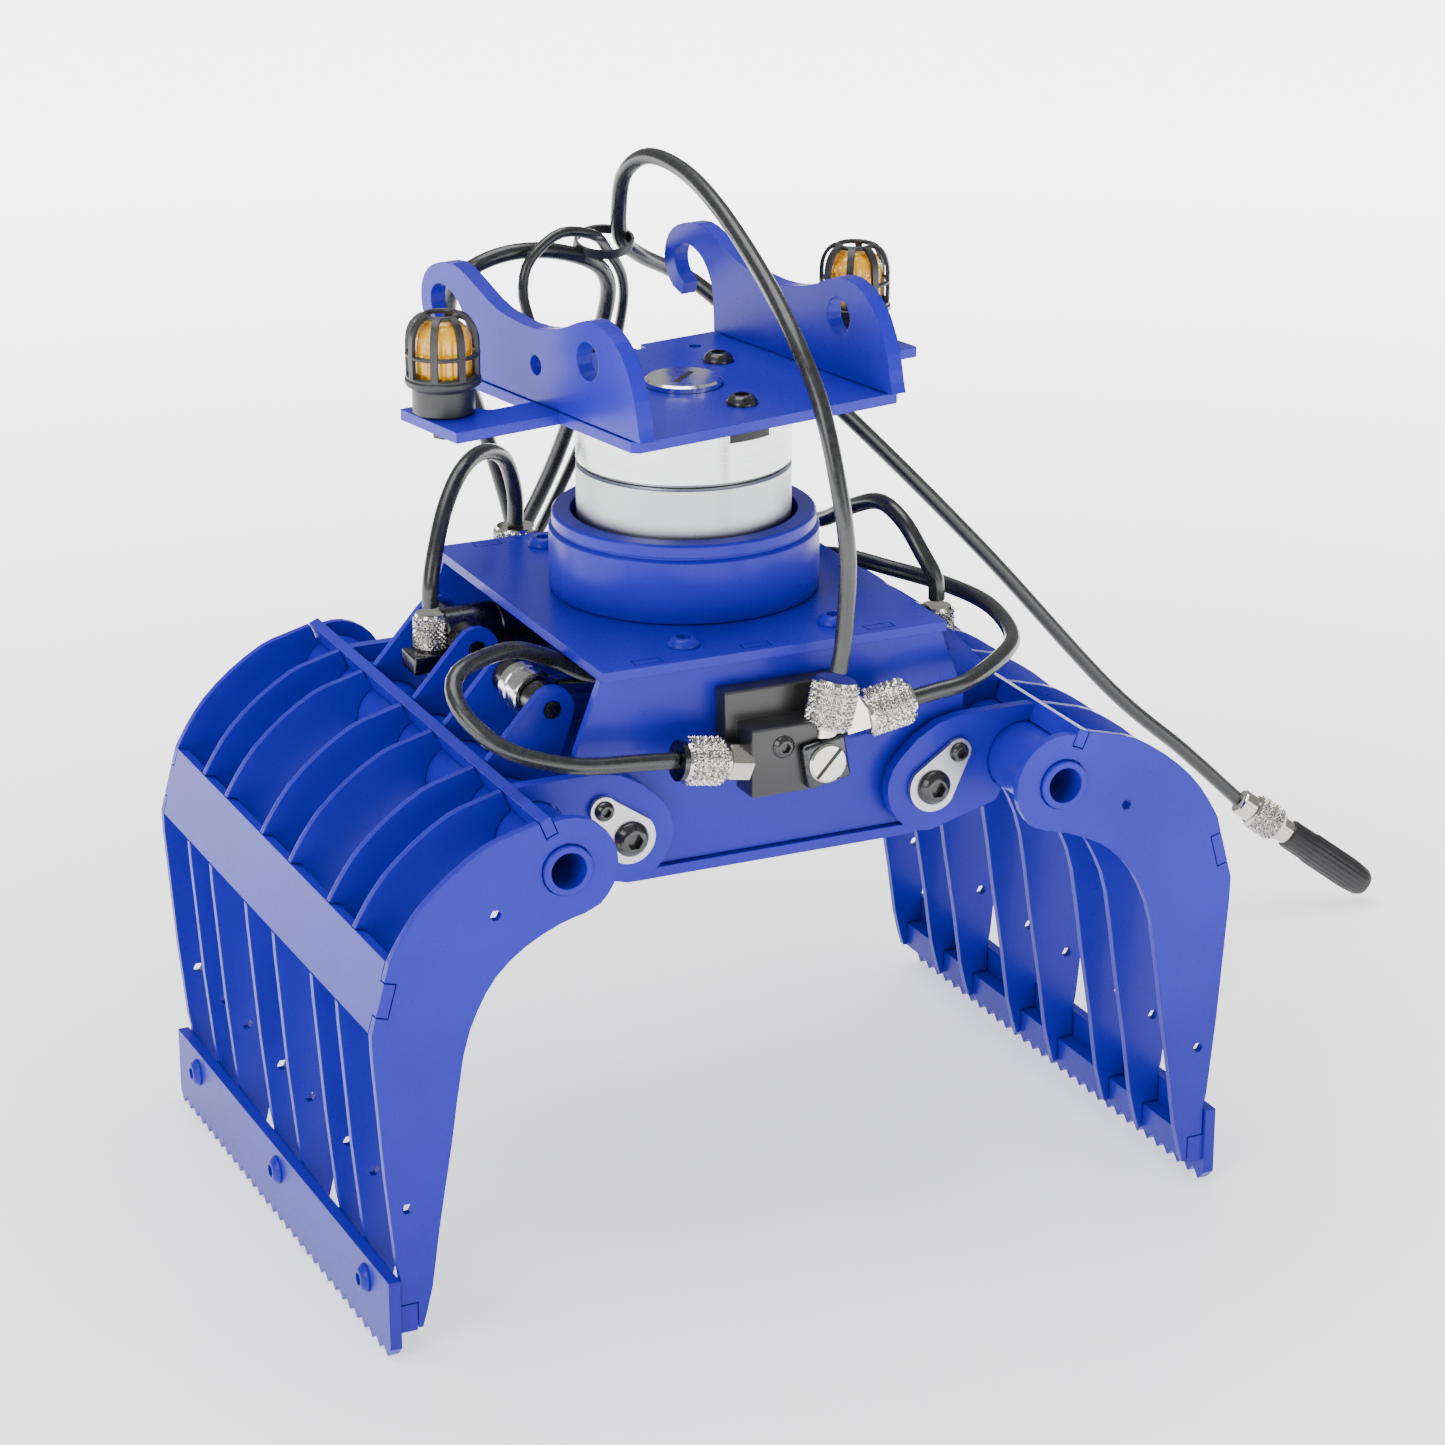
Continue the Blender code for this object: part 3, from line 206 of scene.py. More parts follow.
def metal(name, dark, light, rough, streak=0.0, grain=2500.0, soft_edge=None):
    """Bare or plated metal, streaked along Z where it is turned or brushed."""
    material, nodes, links, shader = new_material(name)
    coordinates = nodes.new("ShaderNodeTexCoord").outputs["Object"]
    if streak:
        squeeze = nodes.new("ShaderNodeVectorMath")
        squeeze.operation = "MULTIPLY"
        squeeze.inputs[1].default_value = (0.03, 0.03, streak)
        links.new(coordinates, squeeze.inputs[0])
        coordinates = squeeze.outputs["Vector"]
    texture = add_noise(nodes, links, grain, 3.0, coordinates)
    links.new(spread(nodes, links, texture, dark, light), shader.inputs["Base Color"])
    links.new(spread(nodes, links, texture, rough[0], rough[1]), shader.inputs["Roughness"])
    shader.inputs["Metallic"].default_value = 1.0
    add_bump(nodes, links, shader, texture, 0.15, 0.0001, soft_edge)
    return material


def black(name, colour, rough, grain, strength, coat=0.0, soft_edge=None):
    """Black rubber, moulded plastic or anodised metal, and the near-black painted shade of recesses."""
    material, nodes, links, shader = new_material(name)
    texture = add_noise(nodes, links, grain)
    lighter = tuple(value * 1.8 for value in colour)
    links.new(spread(nodes, links, texture, colour, lighter), shader.inputs["Base Color"])
    links.new(spread(nodes, links, texture, rough[0], rough[1]), shader.inputs["Roughness"])
    shader.inputs["Coat Weight"].default_value = coat
    add_bump(nodes, links, shader, texture, strength, 0.0001, soft_edge)
    return material


def amber():
    """The clear ribbed lens."""
    material, nodes, links, shader = new_material("amber_lens_look")
    tone = add_noise(nodes, links, 160.0)
    orange = spread(nodes, links, tone, (0.90, 0.42, 0.01), (0.98, 0.58, 0.03))
    links.new(orange, shader.inputs["Base Color"])
    shader.inputs["Roughness"].default_value = 0.12
    shader.inputs["Transmission Weight"].default_value = 0.55
    shader.inputs["Coat Weight"].default_value = 0.5
    add_bump(nodes, links, shader, tone, 0.1, 0.0002)
    return material


def glowing(name, colour):
    """A lamp's core, which gives off a little light of its own."""
    material, nodes, links, shader = new_material(name)
    tone = add_noise(nodes, links, 300.0)
    lighter = tuple(min(1.0, value * 1.1) for value in colour)
    links.new(spread(nodes, links, tone, colour, lighter), shader.inputs["Base Color"])
    shader.inputs["Roughness"].default_value = 0.35
    shader.inputs["Emission Color"].default_value = (*colour, 1.0)
    shader.inputs["Emission Strength"].default_value = 0.6
    return material


LOOKS = {
    "blue_paint": blue_paint(),
    "aluminium": metal("aluminium_look", (0.55, 0.56, 0.57), (0.68, 0.69, 0.70), (0.2, 0.3), 5.0, 900.0),
    "blasted": metal("blasted_aluminium", (0.40, 0.41, 0.42), (0.50, 0.51, 0.52), (0.34, 0.44), 0.0, 4000.0),
    "polished": metal("polished_aluminium", (0.72, 0.72, 0.73), (0.82, 0.82, 0.83), (0.12, 0.2), 0.0, 600.0),
    "gunmetal": metal("gunmetal_look", (0.045, 0.047, 0.05), (0.075, 0.077, 0.082), (0.2, 0.3), 0.0, 1200.0),
    "steel": metal("steel_look", (0.5, 0.5, 0.5), (0.66, 0.66, 0.65), (0.12, 0.22), 0.0, 1500.0),
    "nickel": metal("nickel_look", (0.50, 0.48, 0.44), (0.62, 0.60, 0.55), (0.12, 0.2), 0.0, 1800.0),
    "keeper": metal("keeper_look", (0.42, 0.42, 0.43), (0.55, 0.55, 0.56), (0.35, 0.45), 0.0, 2600.0),
    "black_block": black("black_block_look", (0.008, 0.008, 0.009), (0.28, 0.4), 2500.0, 0.1, 0.1, 0.0004),
    "black_screw": black("black_screw_look", (0.01, 0.01, 0.011), (0.2, 0.32), 1800.0, 0.1, 0.2),
    "black_plastic": black("black_plastic_look", (0.011, 0.011, 0.012), (0.36, 0.5), 2200.0, 0.15),
    "hose_rubber": black("hose_rubber_look", (0.010, 0.0105, 0.011), (0.24, 0.34), 700.0, 0.08, 0.15),
    # socket: near-black painted shade for the insides of slots, sockets and notches in bright metal
    "socket": black("recess_shade_look", (0.002, 0.002, 0.002), (0.5, 0.6), 2000.0, 0.1),
    "amber_lens": amber(),
    "core": glowing("lamp_core", (0.98, 0.72, 0.06)),
    "sleeve": black("sleeve_look", (0.45, 0.45, 0.46), (0.2, 0.3), 1500.0, 0.05, 0.5),
}


def paint_cad_nodes():
    """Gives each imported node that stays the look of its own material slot."""
    slots = {entry["node"]: entry["material_slot"] for entry in frame["record"]["subparts"]}
    for name, node in frame["nodes"].items():
        look = LOOKS[slots[name]]
        node.data.materials.clear()
        node.data.materials.append(look)


# ---------------------------------------------------------------- making pieces

def facing(origin, direction):
    """The matrix at a place whose Z runs along a direction."""
    turned_to = Vector(direction).normalized().to_track_quat("Z", "Y").to_matrix().to_4x4()
    return Matrix.Translation(Vector(origin)) @ turned_to


def at(x, y, z):
    return Matrix.Translation((x, y, z))


def add_piece(name, mesh, look, body, replaces=(), place=None, smooth=True):
    """A finished piece: its mesh, made in millimetres, placed, scaled to metres and set on its body."""
    if place is not None:
        mesh.transform(place)
    mesh.transform(Matrix.Scale(MM, 4))
    mesh.validate()
    mesh.materials.append(LOOKS[look])
    piece = bpy.data.objects.new(name, mesh)
    bpy.context.scene.collection.objects.link(piece)
    if smooth:
        mesh.shade_smooth()
        mesh.set_sharp_from_angle(angle=math.radians(35))
    if body is not None:
        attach(piece, body)
    if replaces:
        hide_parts(*replaces)
    return piece


def mesh_of(work):
    """The mesh of a finished bmesh, with its faces turned outwards."""
    bmesh.ops.recalc_face_normals(work, faces=work.faces)
    mesh = bpy.data.meshes.new("piece")
    work.to_mesh(mesh)
    work.free()
    return mesh


def surface(rings, closed_ends=True, closed_loop=False):
    """A skin over rings of points. A ring of one point closes the end it is at."""
    work = bmesh.new()
    made = [[work.verts.new(point) for point in ring] for ring in rings]
    pairs = list(zip(made, made[1:]))
    if closed_loop:
        pairs.append((made[-1], made[0]))
    for a, b in pairs:
        count = max(len(a), len(b))
        for i in range(count):
            j = (i + 1) % count
            corners = [a[i % len(a)], a[j % len(a)], b[j % len(b)], b[i % len(b)]]
            unique = list(dict.fromkeys(corners))
            work.faces.new(unique)
    if closed_ends and not closed_loop:
        for ring in (made[0], made[-1]):
            if len(ring) > 2:
                work.faces.new(ring)
    return mesh_of(work)


def lathe(profile, steps=64, wave=None, closed_loop=False):
    """A turned skin. The profile is (radius, height); wave(angle, height) adds to the radius."""
    rings = []
    for radius, height in profile:
        if radius == 0.0:
            rings.append([(0.0, 0.0, height)])
            continue
        ring = []
        for i in range(steps):
            angle = TAU * i / steps
            r = radius + (wave(angle, height) if wave else 0.0)
            ring.append((r * math.cos(angle), r * math.sin(angle), height))
        rings.append(ring)
    return surface(rings, closed_loop=closed_loop)


def prism(radius, z0, z1, sides=6, chamfer=0.4, turn=0.0):
    """A hexagon or other prism with chamfered ends."""
    rings = []
    end = radius - chamfer
    angles = [turn + TAU * i / sides for i in range(sides)]
    for r, z in ((end, z0), (radius, z0 + chamfer), (radius, z1 - chamfer), (end, z1)):
        rings.append([(r * math.cos(a), r * math.sin(a), z) for a in angles])
    return surface(rings)


def rounded_block(low, high, radius=0.5):
    """A box with rounded edges."""
    low, high = Vector(low), Vector(high)
    work = bmesh.new()
    bmesh.ops.create_cube(work, size=1.0)
    bmesh.ops.scale(work, vec=high - low, verts=work.verts)
    bmesh.ops.translate(work, vec=(low + high) / 2, verts=work.verts)
    bmesh.ops.bevel(work, geom=work.edges[:], offset=radius, segments=3, affect="EDGES", profile=0.5)
    return mesh_of(work)


def joined(meshes):
    """Several meshes as one."""
    work = bmesh.new()
    for mesh in meshes:
        work.from_mesh(mesh)
        bpy.data.meshes.remove(mesh)
    mesh = bpy.data.meshes.new("piece")
    work.to_mesh(mesh)
    work.free()
    return mesh


def moved(mesh, place):
    mesh.transform(place)
    return mesh


def smooth_points(points, step):
    """Evenly spaced points on the smooth curve through a route."""
    through = [Vector(point) for point in points]
    last = len(through) - 1
    dense = []
    for i in range(last):
        a, b = through[max(i - 1, 0)], through[i]
        c, d = through[i + 1], through[min(i + 2, last)]
        for k in range(16):
            t = k / 16
            bend = (2 * a - 5 * b + 4 * c - d) * t * t + (3 * b - a - 3 * c + d) * t ** 3
            dense.append((2 * b + (c - a) * t + bend) / 2)
    dense.append(through[-1])
    lengths = [0.0]
    for a, b in zip(dense, dense[1:]):
        lengths.append(lengths[-1] + (b - a).length)
    count = max(2, round(lengths[-1] / step))
    found = []
    span = 0
    for i in range(count + 1):
        target = lengths[-1] * i / count
        while span < len(dense) - 2 and lengths[span + 1] < target:
            span += 1
        part = (target - lengths[span]) / (lengths[span + 1] - lengths[span])
        found.append(dense[span].lerp(dense[span + 1], min(part, 1.0)))
    return found


def sweep(path, radius, sides=20):
    """A round tube along a path, with a frame that doesn't twist."""
    rings = []
    side = (path[1] - path[0]).orthogonal().normalized()
    for i, point in enumerate(path):
        along = (path[min(i + 1, len(path) - 1)] - path[max(i - 1, 0)]).normalized()
        side = (side - along * side.dot(along)).normalized()
        other = along.cross(side)
        angles = [TAU * k / sides for k in range(sides)]
        rings.append([point + (side * math.cos(a) + other * math.sin(a)) * radius for a in angles])
    return surface(rings)


# ---------------------------------------------------------------- camera, floor and light

def set_camera():
    """The photograph's view."""
    azimuth, elevation = math.radians(CAMERA_AZIMUTH), math.radians(CAMERA_ELEVATION)
    back = Vector((
        math.sin(azimuth) * math.cos(elevation),
        -math.cos(azimuth) * math.cos(elevation),
        math.sin(elevation),
    ))
    right = Vector((math.cos(azimuth), math.sin(azimuth), 0.0))
    data = bpy.data.cameras.new("camera")
    data.lens = CAMERA_LENS
    data.sensor_width = SENSOR_WIDTH
    camera = bpy.data.objects.new("camera", data)
    turn = Matrix((right, back.cross(right), back)).transposed().to_4x4()
    camera.matrix_world = Matrix.Translation(Vector(CAMERA_PLACE) * MM) @ turn
    bpy.context.scene.collection.objects.link(camera)
    bpy.context.scene.camera = camera


def add_light(name, place, aim, size, power):
    """A rectangular lamp, in metres, that shines from a place towards an aim."""
    data = bpy.data.lights.new(name, "AREA")
    data.shape = "RECTANGLE"
    data.size, data.size_y = size
    data.energy = power
    light = bpy.data.objects.new(name, data)
    light.matrix_world = facing(place, Vector(place) - Vector(aim))
    bpy.context.scene.collection.objects.link(light)


def set_studio():
    """A pale, slightly glossy floor, a bright room, and soft lights above and to the left."""
    work = bmesh.new()
    bmesh.ops.create_grid(work, x_segments=2, y_segments=2, size=12000.0)
    mesh = mesh_of(work)
    mesh.transform(Matrix.Scale(MM, 4))
    material, nodes, links, shader = new_material("studio_floor")
    tone = add_noise(nodes, links, 3.0)
    white = spread(nodes, links, tone, (0.88, 0.885, 0.90), (0.90, 0.905, 0.92))
    links.new(white, shader.inputs["Base Color"])
    shader.inputs["Roughness"].default_value = 0.13
    shader.inputs["Emission Color"].default_value = (1.0, 1.0, 1.0, 1.0)
    distance = nodes.new("ShaderNodeVectorMath")
    distance.operation = "LENGTH"
    links.new(nodes.new("ShaderNodeTexCoord").outputs["Object"], distance.inputs[0])
    glow = spread(nodes, links, distance.outputs["Value"], FLOOR_GLOW, FAR_FLOOR_GLOW, 0.15, 1.1)
    links.new(glow, shader.inputs["Emission Strength"])
    mesh.materials.append(material)
    floor = bpy.data.objects.new("studio_floor", mesh)
    floor.location.z = -0.0002
    bpy.context.scene.collection.objects.link(floor)
    world = bpy.data.worlds.new("studio")
    world.use_nodes = True
    world.node_tree.nodes["Background"].inputs["Color"].default_value = (1.0, 1.0, 1.0, 1.0)
    world.node_tree.nodes["Background"].inputs["Strength"].default_value = ROOM_LIGHT
    bpy.context.scene.world = world
    middle = (0.0, 0.0, 0.1)
    add_light("overhead", (-0.1, 0.2, 1.5), middle, (1.4, 1.0), OVERHEAD_POWER)
    add_light("left_key", (-1.3, -0.7, 0.9), middle, (0.8, 0.9), KEY_POWER)
    add_light("front_fill", (0.7, -1.6, 0.5), middle, (1.0, 0.5), FILL_POWER)


# ---------------------------------------------------------------- nuts, screws and couplings

def diamond(count, depth):
    """A diamond knurl: a function for its height at an angle, a place along the nut and a radius."""
    def height_at(angle, z, radius):
        pitch = TAU * radius / count
        a = (angle * count / TAU + z / pitch) % 1.0
        b = (angle * count / TAU - z / pitch) % 1.0
        return depth * min(1 - abs(2 * a - 1), 1 - abs(2 * b - 1)) * 1.6
    return height_at


def knurled(radius, length, count=22, depth=0.55, steps=176):
    """A knurled sleeve from 0 to length along Z, plain and chamfered at each end."""
    pattern = diamond(count, depth)
    chamfer = 0.7
    rows = max(12, round((length - 2 * chamfer) / 0.3))
    core = radius - depth
    profile = [(core - 1.4, 0.0), (core - 0.2, 0.0)]
    profile += [(core, chamfer + (length - 2 * chamfer) * i / rows) for i in range(rows + 1)]
    profile += [(core - 0.2, length), (core - 1.4, length)]

    def wave(angle, z):
        if z <= 0.0 or z >= length:
            return 0.0
        fade = min(1.0, (z - chamfer) / 0.35, (length - chamfer - z) / 0.35)
        return max(0.0, fade) * pattern(angle, z, radius)
    return lathe(profile, steps, wave)


def between(mesh, start, end):
    """Moves a mesh drawn along Z so that it runs from one point towards another."""
    return moved(mesh, facing(start, Vector(end) - Vector(start)))


def hose_nut(start, end, radius=5.45):
    """A hose's knurled nut, from one point to another."""
    return between(knurled(radius, (Vector(end) - Vector(start)).length), start, end)


def button_screw(radius, height, socket=0.42, steps=48):
    """A domed screw head with a hexagon socket. It stands on z = 0."""
    across = radius * socket

    def hexagon(depth):
        ring = []
        for i in range(steps):
            angle = TAU * i / steps
            r = across / math.cos((angle % (TAU / 6)) - TAU / 12)
            ring.append((r * math.cos(angle), r * math.sin(angle), depth))
        return ring

    def round_ring(r, z):
        angles = [TAU * k / steps for k in range(steps)]
        return [(r * math.cos(angle), r * math.sin(angle), z) for angle in angles]

    rings = [[(0.0, 0.0, 0.0)], round_ring(radius, 0.0)]
    for i in range(7):
        part = i / 6
        r = radius + (across * 1.3 - radius) * part
        rings.append(round_ring(r, height * (0.25 + 0.75 * math.sin(part * math.pi / 2))))
    floor = height * 0.3
    rings += [hexagon(height), hexagon(floor), [(0.0, 0.0, floor)]]
    return surface(rings)


def add_screw(name, place, body, look="blue_paint", radius=3.8, height=2.2):
    return add_piece(name, button_screw(radius, height), look, body, place=place)


def add_coupling(name, start, tip, body):
    """The coupling on a hose's free end: its knurled nut, and a ribbed black dust cap over its nose."""
    length = (Vector(tip) - Vector(start)).length
    place = facing(start, Vector(tip) - Vector(start))
    sleeve = lathe([(0.0, 0.0), (3.4, 0.0), (3.8, 0.4), (3.8, 4.6), (3.3, 4.8), (0.0, 4.8)], 48)
    nut = moved(knurled(5.1, 9.4, 20), at(0, 0, 4.6))
    neck = lathe([(0.0, 13.8), (3.5, 13.8), (3.5, 18.2), (0.0, 18.2)], 48)
    metal_part = add_piece(name, joined([sleeve, nut, neck]), "nickel", body, (name,), place)

    def ribs(angle, z):
        return -0.22 * (0.5 + 0.5 * math.cos(angle * 20)) if 20.0 < z < length - 3.0 else 0.0

    profile = [(0.0, 17.8), (4.1, 17.8), (4.3, 18.4), (4.3, 25.0), (4.6, 26.0)]
    profile += [(4.6, 26.0 + (length - 34.0) * i / 8) for i in range(1, 9)]
    profile += [(4.5, length - 6.0), (4.1, length - 2.2), (3.2, length - 0.6), (0.0, length)]
    cap = add_piece(name + "_dust_cap", lathe(profile, 160, ribs), "black_plastic", body, (), place)
    return [metal_part, cap]


# ---------------------------------------------------------------- hoses


def metres(point):
    return tuple(Vector(point) * MM)


def add_cord(name, points, radius, node, blend=None):
    """A free hose or lead, or a stretch of one, with its real length."""
    cord = add_piece(name, sweep(points, radius), "hose_rubber", None if blend else "hanger", [node])
    if blend:
        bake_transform(cord)


def add_cords():
    """The two supply hoses, the lights' lead and the tie. The tie divides the rear hose in two."""
    front_fitting = add_coupling("front_hose_coupling", *FRONT_FITTING, "hanger")
    rear_fitting = add_coupling("rear_hose_coupling", *REAR_FITTING, "hanger")
    along_y = (metres((10.0, -60.0, 150.0)), metres((10.0, -30.0, 150.0)))
    add_cord(
        "front_supply_hose_look", smooth_points(FRONT_SUPPLY_ROUTE, HOSE_STEP), HOSE_RADIUS,
        "front_supply_hose", along_y,
    )
    rear = smooth_points(REAR_SUPPLY_ROUTE, HOSE_STEP)
    tie_place = Vector(REAR_SUPPLY_ROUTE[TIE_INDEX])
    tie = min(range(len(rear)), key=lambda i: (rear[i] - tie_place).length)
    rising = (metres((0.0, 60.0, 130.0)), metres((0.0, 60.0, 205.0)))
    add_cord(
        "rear_supply_hose_look", rear[:tie + 1], HOSE_RADIUS, "rear_supply_hose", rising,
    )
    add_cord(
        "rear_supply_hose_tail", rear[tie:], HOSE_RADIUS, "rear_supply_hose",
    )
    plug = add_plug()
    lead = smooth_points(LEAD_ROUTE, HOSE_STEP)
    add_cord("light_lead_look", lead, LEAD_RADIUS, "light_lead")
    add_tie()


def add_plug():
    """The lights' two-way plug."""
    low, high = (-62.5, 89.0, 0.3), (-54.5, 103.0, 4.7)
    shell = rounded_block(low, high, 0.6)
    body = add_piece("lead_plug_look", shell, "black_plastic", "hanger", ["lead_plug"])
    pins = []
    for x in (-60.4, -56.6):
        pins.append(moved(prism(0.7, 0.0, 1.2, 8, 0.2), facing((x, 89.2, 2.5), (0, -1, 0))))
    return [body, add_piece("lead_plug_pins", joined(pins), "nickel", "hanger")]


def add_tie():
    """The cable tie that holds the supply hoses and the lead together."""
    centre = Vector((3.5, 54.5, 217.0))
    loop = []
    for i in range(40):
        angle = TAU * i / 40
        loop.append(centre + Vector((7.4 * math.cos(angle), 4.4 * math.sin(angle), 2.2 * math.sin(angle))))
    rings = []
    for i, point in enumerate(loop):
        out = (point - centre).normalized()
        rings.append([point + out * o + Vector((0, -0.5, 1.0)).normalized() * h
                      for o, h in ((-0.35, -1.2), (0.35, -1.2), (0.35, 1.2), (-0.35, 1.2))])
    add_piece("bundle_tie", surface(rings, closed_loop=True), "black_plastic", "hanger")


def add_captive_hoses():
    """The four hoses to the cylinders. Those behind run between the frame and a jaw, and stay fixed where
    they are drawn.
    """
    for name, route in (("front_left_hose", FRONT_LEFT_ROUTE), ("front_right_hose", FRONT_RIGHT_ROUTE)):
        mesh = sweep(smooth_points(route, HOSE_STEP), HOSE_RADIUS)
        add_piece(name + "_look", mesh, "hose_rubber", "frame", [name])
    for name, route, jaw in (
        ("rear_left_hose", REAR_LEFT_ROUTE, "left_jaw"), ("rear_right_hose", REAR_RIGHT_ROUTE, "right_jaw"),
    ):
        mesh = sweep(smooth_points(route, HOSE_STEP), HOSE_RADIUS)
        hose = add_piece(name + "_look", mesh, "hose_rubber", None, [name])
        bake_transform(hose)


# ---------------------------------------------------------------- jaws and pins

def add_jaw_pieces(jaw, side):
    """The turned tube, the pins with their keepers, and the screws through the blade."""
    profile = [(4.25, -76.0), (5.6, -76.0), (5.85, -75.75), (5.85, -72.7), (8.3, -72.7), (8.5, -72.5)]
    profile += [(r, -z) for r, z in reversed(profile)]
    name = f"{jaw}_cross_tube"
    add_piece(
        name + "_look", lathe(profile, 72, closed_loop=True), "blue_paint", jaw, [name],
        facing((side * TUBE[0], 0.0, TUBE[1]), (0, 1, 0)),
    )
    for end, front in (("front", -1), ("rear", 1)):
        add_pin(jaw, end, side, front)
    for number, y in enumerate((-60.5, 0.0, 60.5), 1):
        place = facing((side * 107.2, y, 13.6), (side, 0, 0))
        add_screw(f"{jaw}_blade_screw_{number}", place, jaw, "blue_paint", 3.4, 1.8)


def keeper_outline(side):
    """A keeper plate's outline: round the hinge pin and round its small screw."""
    points = []
    for i in range(25):
        angle = math.radians(141.0 + 180.0 * i / 24)
        points.append((PIVOT[0] + 6.1 * math.cos(angle), PIVOT[1] + 6.1 * math.sin(angle)))
    for i in range(17):
        angle = math.radians(-39.0 + 180.0 * i / 16)
        points.append((45.1 + 3.3 * math.cos(angle), 114.9 + 3.3 * math.sin(angle)))
    return [(side * x, z) for x, z in points]


def add_pin(jaw, end, side, front):
    """A hinge pin: the shank, the pale keeper plate, and the two black screws that show."""
    name = f"{jaw}_{end}_pivot_pin"
    inner, outer = front * 54.5, front * 55.7
    outline = keeper_outline(side)
    rings = [[(x, y, z) for x, z in outline] for y in (inner, outer)]
    add_piece(name + "_keeper", surface(rings), "keeper", jaw)
    shank = lathe([(0.0, 46.5), (2.8, 46.5), (3.0, 46.7), (3.0, 54.6), (0.0, 54.6)], 40)
    place = facing((side * PIVOT[0], 0.0, PIVOT[1]), (0, front, 0))
    add_piece(name + "_look", shank, "steel", jaw, [name], place)
    head = facing((side * PIVOT[0], outer, PIVOT[1]), (0, front, 0))
    add_screw(name + "_screw", head, jaw, "black_screw", 4.2, 2.4)
    small = facing((side * 45.1, outer, 114.9), (0, front, 0))
    add_screw(name + "_keeper_screw", small, jaw, "black_screw", 2.4, 1.5)


# ---------------------------------------------------------------- frame and rotator

def add_frame_pieces():
    """The top plate's screws, the collar and the lower half of the rotator."""
    for number, (x, y) in enumerate(((-19, -41.5), (19, -41.5), (-19, 41.5), (19, 41.5)), 1):
        add_screw(f"top_plate_screw_{number}", at(x, y, 146.2), "frame", "blue_paint", 3.8, 2.2)
    collar = [
        (27.0, 146.5), (27.0, 165.3), (30.9, 165.3), (31.4, 164.8), (31.4, 162.3), (31.0, 162.1),
        (31.0, 161.7), (31.7, 161.5), (32.15, 161.1), (32.15, 146.9), (31.9, 146.5),
    ]
    look = lathe(collar, 128, closed_loop=True)
    add_piece("collar_ring_look", look, "blue_paint", "frame", ["collar_ring"])
    lower = [
        (0.0, 150.0), (22.0, 150.0), (22.0, 176.95), (24.9, 176.95), (25.5, 176.4), (25.5, 146.6),
        (0.0, 146.6),
    ]
    add_piece("rotator_lower_look", lathe(lower, 128), "blasted", "frame", ["rotator_lower"])


def add_rotator_top():
    """The upper half of the rotator with its cable notch, and the shaft, whose top is the slotted cap. The
    notch and the slot are thin near-black pieces on the surface: painted shade for the recesses.
    """
    upper = [
        (9.5, 192.3), (25.1, 192.3), (25.5, 191.9), (25.5, 178.0), (24.9, 177.3), (22.0, 177.3),
        (22.0, 186.0), (9.5, 186.0),
    ]
    look = lathe(upper, 128, closed_loop=True)
    add_piece("rotator_upper_look", look, "aluminium", "hanger", ["rotator_upper"], HANGER_TURN)
    shaft = [
        (0.0, 196.9), (8.6, 196.9), (9.2, 196.4), (9.2, 179.0), (3.3, 179.0), (3.3, 188.0), (0.0, 188.0),
    ]
    add_piece("slew_shaft_look", lathe(shaft, 96), "polished", "hanger", ["slew_shaft"], HANGER_TURN)
    # The slot is a thin near-black block on the cap: painted shade for the recess.
    slot = rounded_block((-5.0, -0.8, 196.6), (5.0, 0.8, 196.98), 0.15)
    add_piece("slew_shaft_slot_shade", slot, "socket", "hanger", (), HANGER_TURN @ Matrix.Rotation(0.6, 4, "Z"))
    # The cable notch is a thin near-black sheet on the rotator's side: painted shade for the recess.
    rings = []
    for i in range(13):
        angle = math.radians(-100.0 + 26.0 * i / 12)
        rings.append([(r * math.cos(angle), r * math.sin(angle), z)
                      for r, z in ((25.2, 187.3), (25.6, 187.3), (25.6, 191.6), (25.2, 191.6))])
    add_piece("rotator_cable_notch_shade", surface(rings), "socket", "hanger", (), HANGER_TURN)


# ---------------------------------------------------------------- hanger and lights

def add_hanger_pieces():
    """The three black screws on the hanger plate, and the two lights."""
    for number, degrees in enumerate((-87, 33, 153), 1):
        angle = math.radians(degrees)
        place = HANGER_TURN @ at(22 * math.cos(angle), 22 * math.sin(angle), HANGER_TOP)
        add_screw(f"hanger_screw_{number}", place, "hanger", "black_screw", 3.8, 2.3)
    for name, side in (("left", -1), ("right", 1)):
        add_beacon(name, side)


def flat_bar(path, side, half, depth):
    """A flat bar that runs along a path."""
    rings = []
    for i, point in enumerate(path):
        along = (path[min(i + 1, len(path) - 1)] - path[max(i - 1, 0)]).normalized()
        out = side.cross(along)
        corners = ((-half, -depth), (half, -depth), (half, depth), (-half, depth))
        rings.append([point + side * a + out * b for a, b in corners])
    return surface(rings)


def torus(radius, z, tube, steps=64, sides=12):
    profile = []
    for i in range(sides):
        angle = TAU * i / sides
        profile.append((radius + tube * math.cos(angle), z + tube * math.sin(angle)))
    return lathe(profile, steps, closed_loop=True)


